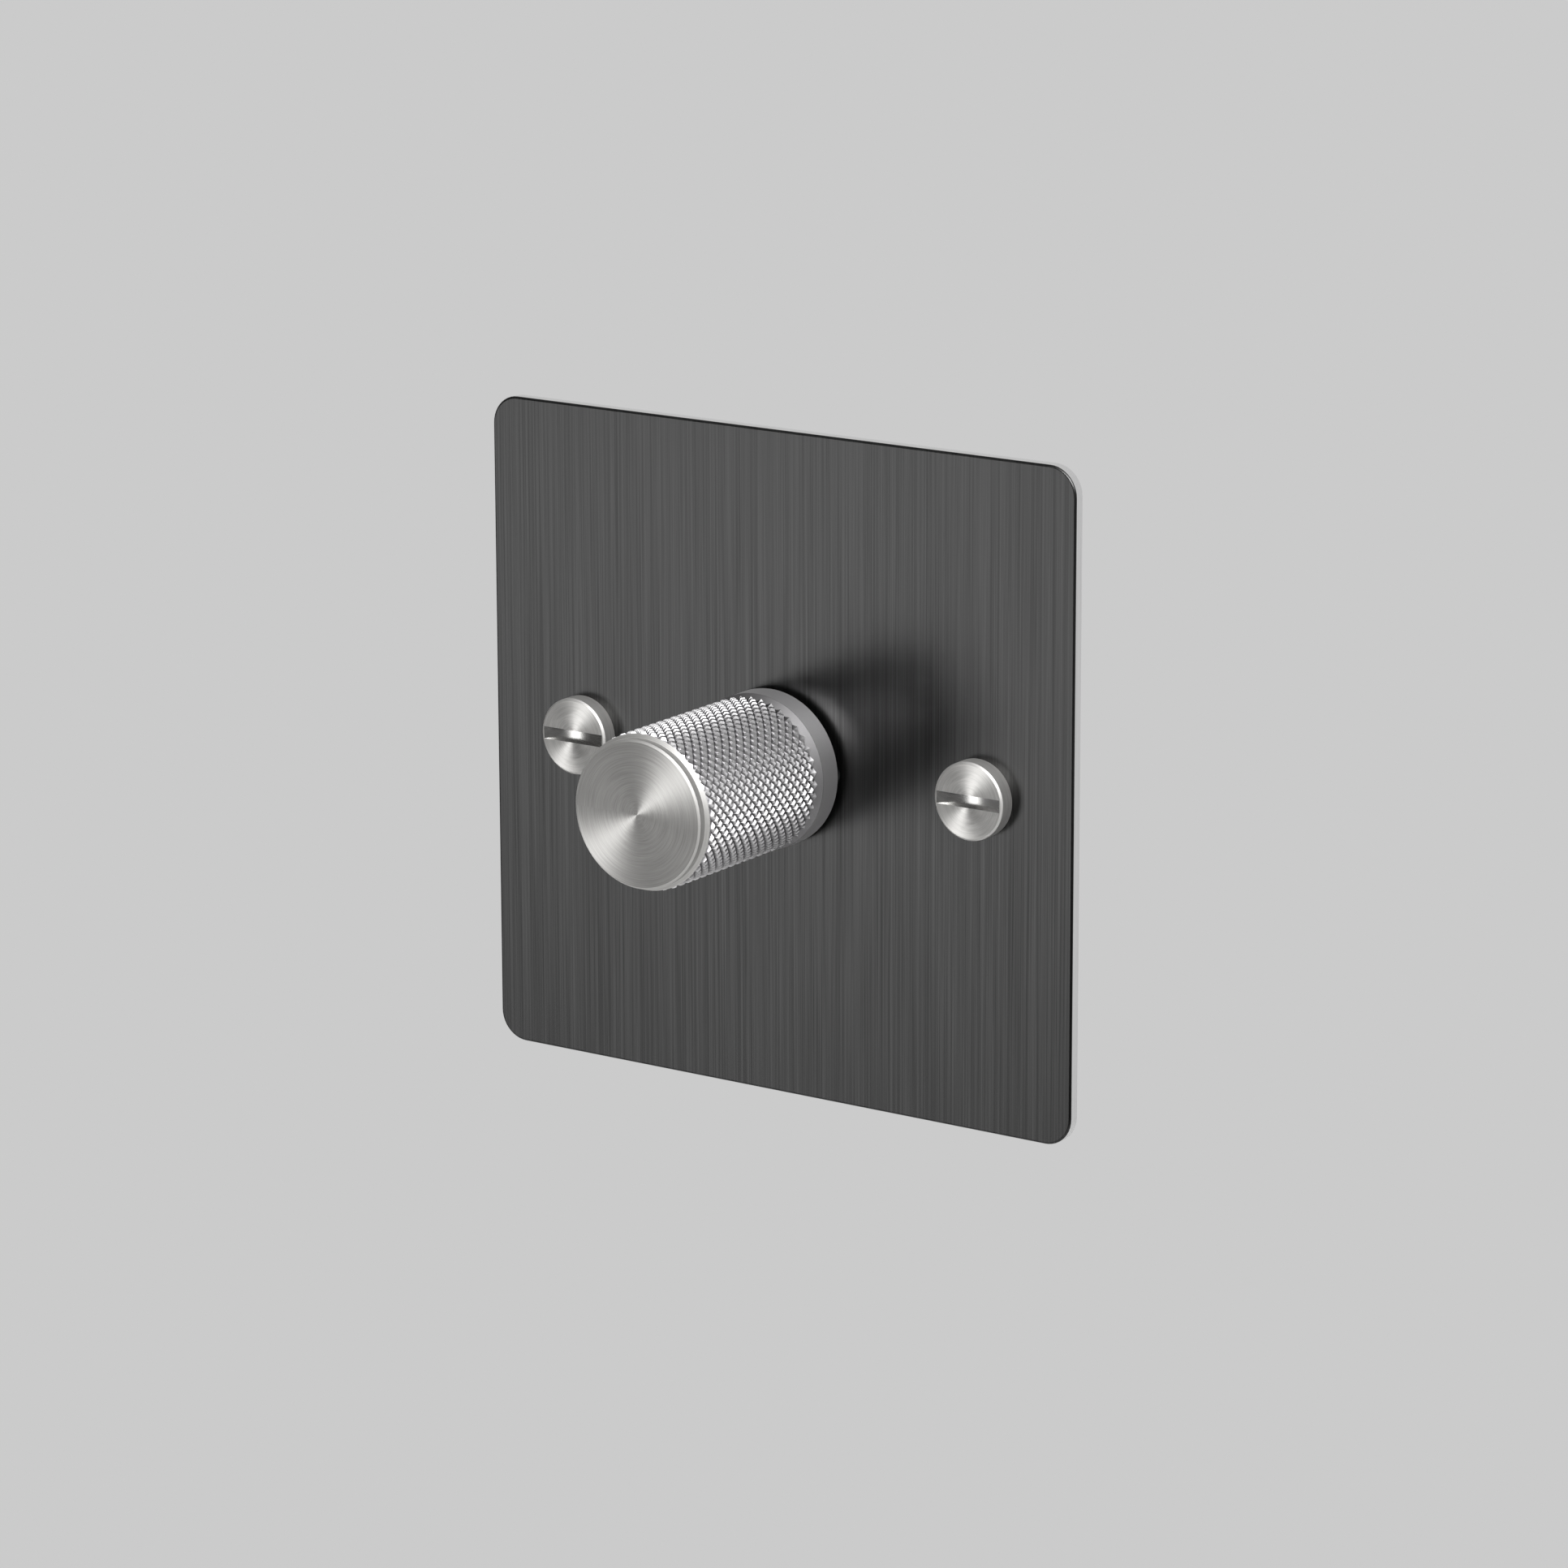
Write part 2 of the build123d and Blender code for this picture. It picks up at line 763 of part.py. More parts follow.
# End cap: spun face, side band, shoulder, and a spigot seated in the grip
with BuildPart() as knob_end_cap:
    cap_back = grip_front - seam_width
    shoulder_front = cap_back - cap_shoulder
    cap_front = shoulder_front - cap_band
    revolve(
        half_section(
            [
                (0, cap_front),
                (cap_radius - cap_edge_bevel, cap_front),
                (cap_radius, cap_front + cap_edge_bevel),
                (cap_radius, shoulder_front),
                (cap_shoulder_radius, cap_back),
                (cap_shoulder_radius - seam_depth, cap_back),
                (cap_shoulder_radius - seam_depth, grip_front),
                (spigot_radius, grip_front),
                (spigot_radius, grip_front + spigot_length),
                (0, grip_front + spigot_length),
            ]
        ),
        axis=turning_axis(),
    )
save(knob_end_cap.part, "knob_end_cap")


# Grub screw: under the knob, with a hexagon socket, bearing on the shaft's flat
with BuildPart() as knob_grub_screw:
    with BuildSketch(Plane.XY.offset(-(shaft_flat + grub_length))):
        with Locations((0, grub_y)):
            Circle(grub_radius)
    extrude(amount=grub_length)
    with BuildSketch(Plane.XY.offset(-(shaft_flat + grub_length))):
        with Locations((0, grub_y)):
            RegularPolygon(grub_hex / 2, 6, major_radius=False)
    extrude(amount=grub_hex_depth, mode=Mode.SUBTRACT)
save(knob_grub_screw.part, "knob_grub_screw")


# Push switch case: a square moulding on the back of the board, open to the rear
switch_back = board_back + switch_depth
with BuildPart() as switch_case:
    with BuildSketch(facing(board_back)):
        Rectangle(switch_size, switch_size)
        Circle(plunger_radius + running_gap, mode=Mode.SUBTRACT)
    extrude(amount=-switch_depth)
    with BuildSketch(facing(board_back + switch_front_wall)):
        Rectangle(switch_cavity_x, switch_cavity_z)
    extrude(amount=-switch_depth, mode=Mode.SUBTRACT)
save(switch_case.part, "switch_case")


# Switch base: closes the case and carries the fixed contacts
with BuildPart() as switch_base:
    with BuildSketch(facing(switch_back)):
        Rectangle(switch_size, switch_size)
    extrude(amount=-switch_base_thickness)
save(switch_base.part, "switch_base")


# Switch plunger: pushed by the shaft's tail
plunger_front = tail_end + running_gap
flange_front = board_back + switch_front_wall + running_gap
bridge_front = flange_front + plunger_flange
with BuildPart() as switch_plunger:
    revolve(
        half_section(
            [
                (0, plunger_front),
                (plunger_radius, plunger_front),
                (plunger_radius, flange_front),
                (plunger_flange_radius, flange_front),
                (plunger_flange_radius, bridge_front),
                (plunger_pin_radius, bridge_front),
                (plunger_pin_radius, bridge_front + plunger_pin_length),
                (0, bridge_front + plunger_pin_length),
            ]
        ),
        axis=turning_axis(),
    )
save(switch_plunger.part, "switch_plunger")


# Contact bridge: a bar on the plunger that joins the two blades when it is pushed in
bridge_back = bridge_front + bridge_thickness
with BuildPart() as contact_bridge:
    with BuildSketch(facing(bridge_front)):
        Rectangle(bridge_length, bridge_height)
        Circle(plunger_flange_radius)
        Circle(plunger_pin_radius + seat_gap, mode=Mode.SUBTRACT)
    extrude(amount=-bridge_thickness)
save(contact_bridge.part, "contact_bridge")


def contact_blade(side):
    """A fixed contact that stands on the switch base, on one side of the spring."""
    blade_tip = bridge_back + bridge_open_gap
    with BuildPart() as blade:
        with Locations((side * (bridge_length - blade_thickness) / 2, blade_tip, 0)):
            Box(
                blade_thickness,
                switch_back - blade_tip,
                blade_height,
                align=(Align.CENTER, Align.MIN, Align.CENTER),
            )
    return blade.part


save(contact_blade(-1), "contact_blade_left")
save(contact_blade(1), "contact_blade_right")


# Return spring: a helix between the bridge and the switch base
with BuildPart() as return_spring:
    spring_front = bridge_back + spring_wire_radius + running_gap
    spring_back = switch_back - spring_wire_radius - running_gap
    spring_length = spring_back - spring_front
    with BuildLine() as coil:
        Helix(
            spring_length / spring_turns,
            spring_length,
            spring_radius,
            center=(0, spring_front, 0),
            direction=(0, 1, 0),
        )
    with BuildSketch(Plane(coil.line @ 0, z_dir=coil.line % 0)):
        RegularPolygon(spring_wire_radius, 6)
    sweep(is_frenet=True)
save(return_spring.part, "return_spring")


# Triac: metal tab and moulded body on the spreader, three legs bent back into the board
with BuildPart() as power_triac:
    body_top = triac_top - triac_tab_height
    with BuildSketch(facing(spreader_back)):
        with Locations((triac_x, triac_top)):
            Rectangle(triac_width, triac_tab_height + triac_tab_thickness, align=(Align.CENTER, Align.MAX))
        with Locations((triac_x, triac_screw_z)):
            Circle(triac_hole_radius, mode=Mode.SUBTRACT)
    extrude(amount=-triac_tab_thickness)
    with BuildSketch(facing(spreader_back)):
        with Locations((triac_x, body_top)):
            Rectangle(triac_width, triac_body_height, align=(Align.CENTER, Align.MAX))
    extrude(amount=-triac_body_depth)
    leg_front = spreader_back + triac_leg_depth
    for leg_x in triac_leg_xs:
        with Locations((leg_x, leg_front, triac_leg_z - triac_leg_thickness / 2)):
            Box(
                triac_leg_width,
                triac_leg_thickness,
                triac_leg_drop + triac_leg_thickness,
                align=(Align.CENTER, Align.MIN, Align.MIN),
            )
            Box(
                triac_leg_width,
                board_back + leg_past_board - leg_front,
                triac_leg_thickness,
                align=(Align.CENTER, Align.MIN, Align.MIN),
            )
save(power_triac.part, "power_triac")


# Triac screw: clamps the tab to the spreader
with BuildPart() as triac_screw:
    tab_back = spreader_back + triac_tab_thickness
    revolve(
        half_section(
            [
                (0, plate_back + side_gap),
                (triac_screw_radius, plate_back + side_gap),
                (triac_screw_radius, tab_back),
                (triac_screw_head_radius, tab_back),
                (triac_screw_head_radius, tab_back + triac_screw_head - triac_screw_dome),
                (triac_screw_head_radius - triac_screw_dome, tab_back + triac_screw_head),
                (0, tab_back + triac_screw_head),
            ],
            triac_x,
            triac_screw_z,
        ),
        axis=turning_axis(triac_x, triac_screw_z),
    )
    with BuildSketch(facing(tab_back + triac_screw_head)):
        with Locations((triac_x, triac_screw_z)):
            Rectangle(2 * cross_recess_radius, terminal_slot)
            Rectangle(terminal_slot, 2 * cross_recess_radius)
    extrude(amount=cross_recess_depth, mode=Mode.SUBTRACT)
save(triac_screw.part, "triac_screw")


# Suppression choke: a ring core on the back of the board
core_front = board_back + winding_thickness + seat_gap
with BuildPart() as choke_core:
    with BuildSketch(facing(core_front)):
        with Locations((choke_x, choke_z)):
            Circle(choke_outer_radius)
            Circle(choke_inner_radius, mode=Mode.SUBTRACT)
    extrude(amount=-choke_height)
save(choke_core.part, "choke_core")


# Choke winding: a sleeve of wire around most of the core
with BuildPart() as choke_winding:
    sleeve_out = choke_outer_radius + seat_gap
    sleeve_in = choke_inner_radius - seat_gap
    sleeve_back = core_front + choke_height + seat_gap
    winding_section = half_section(
        [
            (sleeve_in - winding_thickness, board_back),
            (sleeve_out + winding_thickness, board_back),
            (sleeve_out + winding_thickness, sleeve_back + winding_thickness),
            (sleeve_in - winding_thickness, sleeve_back + winding_thickness),
        ],
        choke_x,
        choke_z,
    )
    hollow_section = half_section(
        [
            (sleeve_in, core_front - seat_gap),
            (sleeve_out, core_front - seat_gap),
            (sleeve_out, sleeve_back),
            (sleeve_in, sleeve_back),
        ],
        choke_x,
        choke_z,
    )
    revolve(winding_section, axis=turning_axis(choke_x, choke_z), revolution_arc=winding_angle)
    revolve(hollow_section, axis=turning_axis(choke_x, choke_z), mode=Mode.SUBTRACT)
save(choke_winding.part, "choke_winding")


# Suppression capacitor: a moulded box on the back of the board
with BuildPart() as suppression_capacitor:
    with Locations((capacitor_x, board_back, capacitor_z)):
        Box(
            capacitor_width,
            capacitor_depth,
            capacitor_height,
            align=(Align.CENTER, Align.MIN, Align.CENTER),
        )
    fillet(suppression_capacitor.edges().filter_by(Axis.Y), capacitor_corner)
save(suppression_capacitor.part, "suppression_capacitor")


# Terminal block: one moulding with a pocket for each clamp
block_width = (terminal_count - 1) * terminal_pitch + clamp_width + 2 * terminal_block_wall
with BuildPart() as terminal_block:
    with Locations((0, board_back, block_z)):
        Box(
            block_width,
            housing_back - board_back,
            terminal_block_height,
            align=(Align.CENTER, Align.MIN, Align.CENTER),
        )
    with BuildSketch(facing(clamp_front)):
        with Locations(*[(x, clamp_z) for x in terminal_xs]):
            Rectangle(clamp_width + 2 * seat_gap, clamp_height + 2 * seat_gap)
    extrude(amount=-(housing_back - clamp_front), mode=Mode.SUBTRACT)
    with BuildSketch(Plane.XY.offset(block_foot)):
        with Locations(*[(x, wire_depth) for x in terminal_xs]):
            Circle(wire_hole_radius)
    extrude(amount=terminal_block_wall, mode=Mode.SUBTRACT)
save(terminal_block.part, "terminal_block")


def terminal_clamp(x):
    """A brass box with a wire hole from below and a tapped hole from the back."""
    with BuildPart() as clamp:
        with Locations((x, clamp_front, clamp_z)):
            Box(
                clamp_width,
                clamp_depth,
                clamp_height,
                align=(Align.CENTER, Align.MIN, Align.CENTER),
            )
        with BuildSketch(Plane.XY.offset(clamp_z - clamp_height / 2)):
            with Locations((x, wire_depth)):
                Circle(wire_hole_radius)
        extrude(amount=clamp_height, mode=Mode.SUBTRACT)
        with BuildSketch(facing(clamp_back)):
            with Locations((x, clamp_z)):
                Circle(terminal_screw_radius + seat_gap)
        extrude(amount=clamp_back - wire_depth, mode=Mode.SUBTRACT)
    return clamp.part


def slotted_screw(x, z, seat, radius, length, head_radius, head_height):
    """A cheese-head screw driven from the back: its head lies behind the seat."""
    with BuildPart() as screw:
        revolve(
            half_section(
                [
                    (0, seat - length),
                    (radius, seat - length),
                    (radius, seat),
                    (head_radius, seat),
                    (head_radius, seat + head_height),
                    (0, seat + head_height),
                ],
                x,
                z,
            ),
            axis=turning_axis(x, z),
        )
        with BuildSketch(facing(seat + head_height)):
            with Locations((x, z)):
                Rectangle(2 * head_radius, terminal_slot)
        extrude(amount=terminal_slot, mode=Mode.SUBTRACT)
    return screw.part


for number, terminal_x in enumerate(terminal_xs, start=1):
    save(terminal_clamp(terminal_x), f"terminal_clamp_{number}")
    screw_solid = slotted_screw(
        terminal_x,
        clamp_z,
        clamp_back,
        terminal_screw_radius,
        clamp_back - wire_depth - wire_hole_radius,
        terminal_screw_head_radius,
        terminal_screw_head,
    )
    save(screw_solid, f"terminal_screw_{number}")


# Earth terminal: a brass block on the spreader, beside the housing
earth_back = spreader_back + earth_depth
earth_wire_depth = spreader_back + wire_hole_share * earth_depth
with BuildPart() as earth_terminal:
    with Locations((0, spreader_back, earth_z)):
        Box(
            earth_width,
            earth_depth,
            earth_height,
            align=(Align.CENTER, Align.MIN, Align.CENTER),
        )
    with BuildSketch(Plane.YZ.offset(-earth_width / 2)):
        with Locations((earth_wire_depth, earth_z)):
            Circle(earth_hole_radius)
    extrude(amount=earth_width, mode=Mode.SUBTRACT)
    with BuildSketch(facing(earth_back)):
        with Locations((0, earth_z)):
            Circle(earth_screw_radius + seat_gap)
    extrude(amount=earth_back - earth_wire_depth, mode=Mode.SUBTRACT)
save(earth_terminal.part, "earth_terminal")
earth_screw_solid = slotted_screw(
    0,
    earth_z,
    earth_back,
    earth_screw_radius,
    earth_back - earth_wire_depth - earth_hole_radius,
    earth_screw_head_radius,
    earth_screw_head,
)
save(earth_screw_solid, "earth_screw")
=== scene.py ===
# %% [markdown]
# # A rotary dimmer switch
# The object is a flat dark metal plate with a long knurled steel knob and two coin-slot screws.
# Behind the plate hangs the dimmer module that sits in the wall box.
# The CAD model gives every piece its place and size. Here the pieces get their finishes, and the
# pieces whose surface is finer than the CAD model's get a finer mesh.
# All lengths are in metres, X runs across the plate, Z up, and Y into the wall.

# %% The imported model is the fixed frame
import json
import math

import bpy
from mathutils import Matrix, Vector

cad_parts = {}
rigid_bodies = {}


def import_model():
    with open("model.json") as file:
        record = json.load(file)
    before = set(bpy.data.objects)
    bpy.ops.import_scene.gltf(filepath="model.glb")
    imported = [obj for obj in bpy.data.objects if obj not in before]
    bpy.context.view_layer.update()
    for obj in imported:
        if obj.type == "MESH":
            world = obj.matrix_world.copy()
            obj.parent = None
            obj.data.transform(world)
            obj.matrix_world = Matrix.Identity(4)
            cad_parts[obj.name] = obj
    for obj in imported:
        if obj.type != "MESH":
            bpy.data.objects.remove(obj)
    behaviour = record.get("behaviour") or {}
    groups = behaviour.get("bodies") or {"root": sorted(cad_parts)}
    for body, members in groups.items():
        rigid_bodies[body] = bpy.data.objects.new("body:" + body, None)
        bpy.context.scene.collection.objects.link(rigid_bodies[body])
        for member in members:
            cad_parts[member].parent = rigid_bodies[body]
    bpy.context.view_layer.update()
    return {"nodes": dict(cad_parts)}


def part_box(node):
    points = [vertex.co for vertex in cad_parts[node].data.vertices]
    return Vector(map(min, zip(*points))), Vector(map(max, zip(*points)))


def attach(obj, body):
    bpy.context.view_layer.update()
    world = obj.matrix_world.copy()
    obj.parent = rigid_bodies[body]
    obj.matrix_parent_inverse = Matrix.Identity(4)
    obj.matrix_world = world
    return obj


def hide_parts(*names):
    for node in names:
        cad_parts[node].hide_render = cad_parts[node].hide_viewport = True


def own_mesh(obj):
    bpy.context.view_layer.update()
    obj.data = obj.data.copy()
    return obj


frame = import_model()
nodes = frame["nodes"]
mm = 0.001

# %% [markdown]
# ## Camera
# The photograph looks at the plate from the right and from a little above, with a long lens.
# The camera could be placed by eye. Here its place comes from a fit to the plate's corners, the
# screw heads and the knob's end, so every edge lies where the photograph has it.
# A direction round the object and a distance are easier to read than a point in space.

# %% Camera
camera_azimuth = math.radians(34.435)
camera_elevation = math.radians(14.287)
camera_roll = math.radians(0.169)
camera_distance = 781.37 * mm
camera_target = Vector((0.113, -0.8, -2.788)) * mm


def direction(azimuth, elevation):
    """The unit vector from the object towards a place in front of it."""
    level = math.cos(elevation)
    return Vector((math.sin(azimuth) * level, -math.cos(azimuth) * level, math.sin(elevation)))


lens = bpy.data.cameras.new("camera")
lens.sensor_width = 36.0
lens.lens = 141.88
lens.clip_start = 0.01
camera = bpy.data.objects.new("camera", lens)
bpy.context.scene.collection.objects.link(camera)
bpy.context.scene.camera = camera
towards_camera = direction(camera_azimuth, camera_elevation)
aim = (-towards_camera).to_track_quat("-Z", "Y").to_matrix().to_4x4()
camera.matrix_world = (
    Matrix.Translation(camera_target + camera_distance * towards_camera)
    @ aim
    @ Matrix.Rotation(-camera_roll, 4, "Z")
)
print("camera at", [round(value, 4) for value in camera.location])

# %% [markdown]
# ## Colours and nodes
# Colours are written as sRGB hex values, as a screen shows them, and Blender's shaders want linear
# light, so one function turns one into the other.
# Another small function adds a node to a material, sets its values and joins its inputs.

# %% Helpers for materials
def colour(hex_value):
    """An sRGB colour such as "#4E5052" as linear red, green, blue and alpha."""
    channels = [int(hex_value[place:place + 2], 16) / 255 for place in (1, 3, 5)]
    linear = [c / 12.92 if c <= 0.04045 else ((c + 0.055) / 1.055) ** 2.4 for c in channels]
    return (*linear, 1.0)


def add_node(tree, kind, settings=None, links=None):
    """Add a node. A setting is an attribute or an input, a link joins an output to an input."""
    node = tree.nodes.new(kind)
    for name, value in (settings or {}).items():
        if isinstance(name, str) and hasattr(node, name):
            setattr(node, name, value)
        else:
            node.inputs[name].default_value = value
    for name, output in (links or {}).items():
        tree.links.new(output, node.inputs[name])
    return node


# The Mix node has a socket for each kind of value, and its colours are these
mix_low, mix_high, mix_result = 6, 7, 2


def new_material(name):
    """An empty material: its node tree and its output node."""
    material = bpy.data.materials.new(name)
    material.use_nodes = True
    material.node_tree.nodes.clear()
    output = material.node_tree.nodes.new("ShaderNodeOutputMaterial")
    return material, material.node_tree, output


def dress(material, *names):
    """Give CAD nodes one material in place of the plain one from the model."""
    for name in names:
        nodes[name].data.materials.clear()
        nodes[name].data.materials.append(material)
    print(f"{material.name}: {', '.join(names)}")


# %% [markdown]
# ## Studio
# The photograph has an even grey backdrop, no wall and no floor shadow behind the plate.
# The world gives camera rays that grey. Metal and glass see it too, but only where the backdrop
# stands, behind the object. On the camera's side the studio is dim, as it is in the photograph,
# where the knob's shadow on the plate is nearly black.
# Rays that light plain surfaces get a soft even level, so a colour renders about as it is written.

# %% Backdrop and soft light from the world
backdrop_grey = colour("#CBCBCB")
white = colour("#FFFFFF")
world = bpy.data.worlds.new("studio")
bpy.context.scene.world = world
bpy.context.scene.view_settings.view_transform = "Standard"
world.use_nodes = True
tree = world.node_tree
tree.nodes.clear()
rays = add_node(tree, "ShaderNodeLightPath")
ray_direction = add_node(tree, "ShaderNodeTexCoord")
split = add_node(tree, "ShaderNodeSeparateXYZ", links={0: ray_direction.outputs["Generated"]})
behind = add_node(
    tree,
    "ShaderNodeMapRange",
    {"interpolation_type": "SMOOTHSTEP", "From Min": -0.1, "From Max": 0.4},
    {"Value": split.outputs["Y"]},
)
mirrored = add_node(
    tree,
    "ShaderNodeMath",
    {"operation": "MAXIMUM"},
    {0: rays.outputs["Is Glossy Ray"], 1: rays.outputs["Is Transmission Ray"]},
)
mirrored_backdrop = add_node(
    tree,
    "ShaderNodeMath",
    {"operation": "MULTIPLY"},
    {0: mirrored.outputs[0], 1: behind.outputs[0]},
)
sees_backdrop = add_node(
    tree,
    "ShaderNodeMath",
    {"operation": "MAXIMUM"},
    {0: rays.outputs["Is Camera Ray"], 1: mirrored_backdrop.outputs[0]},
)
dim_studio = add_node(tree, "ShaderNodeBackground", {"Color": white, "Strength": 0.07})
soft_level = add_node(tree, "ShaderNodeBackground", {"Color": white, "Strength": 0.55})
backdrop = add_node(tree, "ShaderNodeBackground", {"Color": backdrop_grey, "Strength": 1.0})
room = add_node(
    tree,
    "ShaderNodeMixShader",
    links={0: mirrored.outputs[0], 1: soft_level.outputs[0], 2: dim_studio.outputs[0]},
)
studio = add_node(
    tree,
    "ShaderNodeMixShader",
    links={0: sees_backdrop.outputs[0], 1: room.outputs[0], 2: backdrop.outputs[0]},
)
add_node(tree, "ShaderNodeOutputWorld", links={"Surface": studio.outputs[0]})
print("world: backdrop", [round(value, 3) for value in backdrop_grey[:3]])

# %% [markdown]
# ## Lamps
# The knob's shadow runs to the upper right, so the main lamp stands in front, to the left and low,
# near the place that the plate mirrors to the camera: the plate shows it as an even grey. Its size
# sets how soft the shadow is. The front lamp, high and to the right, draws the bright sectors on
# the turned faces. The lamp above lights the top of the grip, and a weak one its right side.
# Angles are in degrees, lengths in metres and power in watts.

# %% Lamps
def add_lamp(name, azimuth, elevation, distance, width, height, power):
    """A soft rectangular lamp that points at the object from a direction."""
    light = bpy.data.lights.new(name, "AREA")
    light.shape = "RECTANGLE"
    light.size = width
    light.size_y = height
    light.energy = power
    lamp = bpy.data.objects.new(name, light)
    bpy.context.scene.collection.objects.link(lamp)
    place = direction(math.radians(azimuth), math.radians(elevation))
    towards_object = (-place).to_track_quat("-Z", "Y").to_matrix().to_4x4()
    lamp.matrix_world = Matrix.Translation(place * distance) @ towards_object
    print(f"{name}: {azimuth} degrees round, {elevation} up, {power} W")


add_lamp(
    "main_lamp", azimuth=-34, elevation=-16, distance=1.1, width=0.34, height=0.45, power=1.6
)
add_lamp("top_lamp", azimuth=40, elevation=62, distance=0.9, width=0.9, height=0.7, power=3.7)
add_lamp("front_lamp", azimuth=29, elevation=33, distance=0.9, width=0.75, height=0.5, power=12.5)
add_lamp("right_lamp", azimuth=84, elevation=0, distance=0.9, width=0.6, height=0.8, power=0.5)

# %% [markdown]
# ## Floor
# A wall switch stands on nothing, so the floor is a pale disc well below it. It is small enough to
# stay out of the photograph's view, and it catches the soft shadow in views from above.

# %% Floor
floor_radius = 600 * mm
floor_height = -350 * mm
bpy.ops.object.select_all(action="DESELECT")
bpy.ops.mesh.primitive_circle_add(
    vertices=96, radius=floor_radius, fill_type="NGON", location=(0, 0, floor_height)
)
floor = bpy.context.active_object
floor.name = "floor"
bpy.ops.object.transform_apply()
floor_material, tree, output = new_material("pale_studio_floor")
place = add_node(tree, "ShaderNodeTexCoord")
mottle = add_node(tree, "ShaderNodeTexNoise", {"Scale": 6.0}, {"Vector": place.outputs["Object"]})
pale = add_node(
    tree,
    "ShaderNodeMix",
    {"data_type": "RGBA", mix_low: colour("#CDCDCD"), mix_high: colour("#C8C8C8")},
    {0: mottle.outputs[0]},
)
paint = add_node(
    tree, "ShaderNodeBsdfPrincipled", {"Roughness": 0.8}, {"Base Color": pale.outputs[mix_result]}
)
tree.links.new(paint.outputs[0], output.inputs[0])
floor.data.materials.append(floor_material)
print(f"floor: {2 * floor_radius / mm:.0f} mm across at {floor_height / mm:.0f} mm")

# %% [markdown]
# ## Finishing helpers
# The metals share the fine lines that a tool or a brush leaves. They are drawn as stretched noise,
# which varies across the lines and hardly along them. On a turned piece the lines run round its
# axis, so the noise reads the distance from the axis, the angle and the depth.
# A cut edge seldom shines as the face beside it does, so one more helper mixes two shaders by the
# way the surface looks.

# %% The two kinds of tool line
def straight_lines(tree, width, length, along="Z"):
    """Noise in straight lines of that width and length along an axis, from 0 to 1."""
    place = add_node(tree, "ShaderNodeTexCoord")
    across = [1 / width, 1 / width, 1 / width]
    across["XYZ".index(along)] = 1 / length
    scaled = add_node(
        tree, "ShaderNodeMapping", {"Scale": across}, {"Vector": place.outputs["Object"]}
    )
    return add_node(
        tree,
        "ShaderNodeTexNoise",
        {"Scale": 1.0, "Detail": 3.0, "Roughness": 0.6},
        {"Vector": scaled.outputs[0]},
    ).outputs[0]


def distance_angle_depth(tree, centre):
    """The distance from a piece's own axis along Y, the angle round it and the depth along it."""
    place = add_node(tree, "ShaderNodeTexCoord")
    centred = add_node(
        tree,
        "ShaderNodeVectorMath",
        {"operation": "SUBTRACT", 1: (centre[0], 0.0, centre[1])},
        {0: place.outputs["Object"]},
    )
    parts = add_node(tree, "ShaderNodeSeparateXYZ", links={0: centred.outputs[0]})
    flat = add_node(
        tree, "ShaderNodeCombineXYZ", links={"X": parts.outputs["X"], "Z": parts.outputs["Z"]}
    )
    radius = add_node(
        tree, "ShaderNodeVectorMath", {"operation": "LENGTH"}, {0: flat.outputs[0]}
    )
    angle = add_node(
        tree,
        "ShaderNodeMath",
        {"operation": "ARCTAN2"},
        {0: parts.outputs["Z"], 1: parts.outputs["X"]},
    )
    return radius.outputs["Value"], angle.outputs[0], parts.outputs["Y"]


def turning_lines(tree, centre, width):
    """Noise in rings of that width round a piece's own axis, broken up along each ring."""
    radius, angle, depth = distance_angle_depth(tree, centre)
    rings = add_node(
        tree, "ShaderNodeCombineXYZ", links={"X": radius, "Y": angle, "Z": depth}
    )
    scaled = add_node(
        tree,
        "ShaderNodeMapping",
        {"Scale": (1 / width, 1.2, 1 / width)},
        {"Vector": rings.outputs[0]},
    )
    return add_node(
        tree,
        "ShaderNodeTexNoise",
        {"Scale": 1.0, "Detail": 2.0, "Roughness": 0.6},
        {"Vector": scaled.outputs[0]},
    ).outputs[0]


# Most values of a noise texture lie between these two
noise_low, noise_high = 0.3, 0.7


def between(tree, amount, low, high):
    """A colour or a number that runs from low to high as a noise value rises."""
    is_colour = isinstance(low, str)
    first, last = (0.0, 1.0) if is_colour else (low, high)
    spread = add_node(
        tree,
        "ShaderNodeMapRange",
        {"From Min": noise_low, "From Max": noise_high, "To Min": first, "To Max": last},
        {"Value": amount},
    )
    if not is_colour:
        return spread.outputs[0]
    mixed = add_node(
        tree,
        "ShaderNodeMix",
        {"data_type": "RGBA", mix_low: colour(low), mix_high: colour(high)},
        {0: spread.outputs[0]},
    )
    return mixed.outputs[mix_result]


print("helpers for straight lines and turning lines ready")

# %% A finish for the front and one for the sides
def front_and_side(tree, front, side, limit):
    """One shader where a face looks along Y by more than the limit, and another where less."""
    blend = 0.04
    place = add_node(tree, "ShaderNodeTexCoord")
    normal = add_node(tree, "ShaderNodeSeparateXYZ", links={0: place.outputs["Normal"]})
    facing = add_node(
        tree, "ShaderNodeMath", {"operation": "ABSOLUTE"}, {0: normal.outputs["Y"]}
    )
    sideways = add_node(
        tree,
        "ShaderNodeMapRange",
        {"From Min": limit + blend, "From Max": limit - blend},
        {"Value": facing.outputs[0]},
    )
    mixed = add_node(
        tree,
        "ShaderNodeMixShader",
        links={0: sideways.outputs[0], 1: front.outputs[0], 2: side.outputs[0]},
    )
    return mixed.outputs[0]


print("helper for a front and its sides ready")

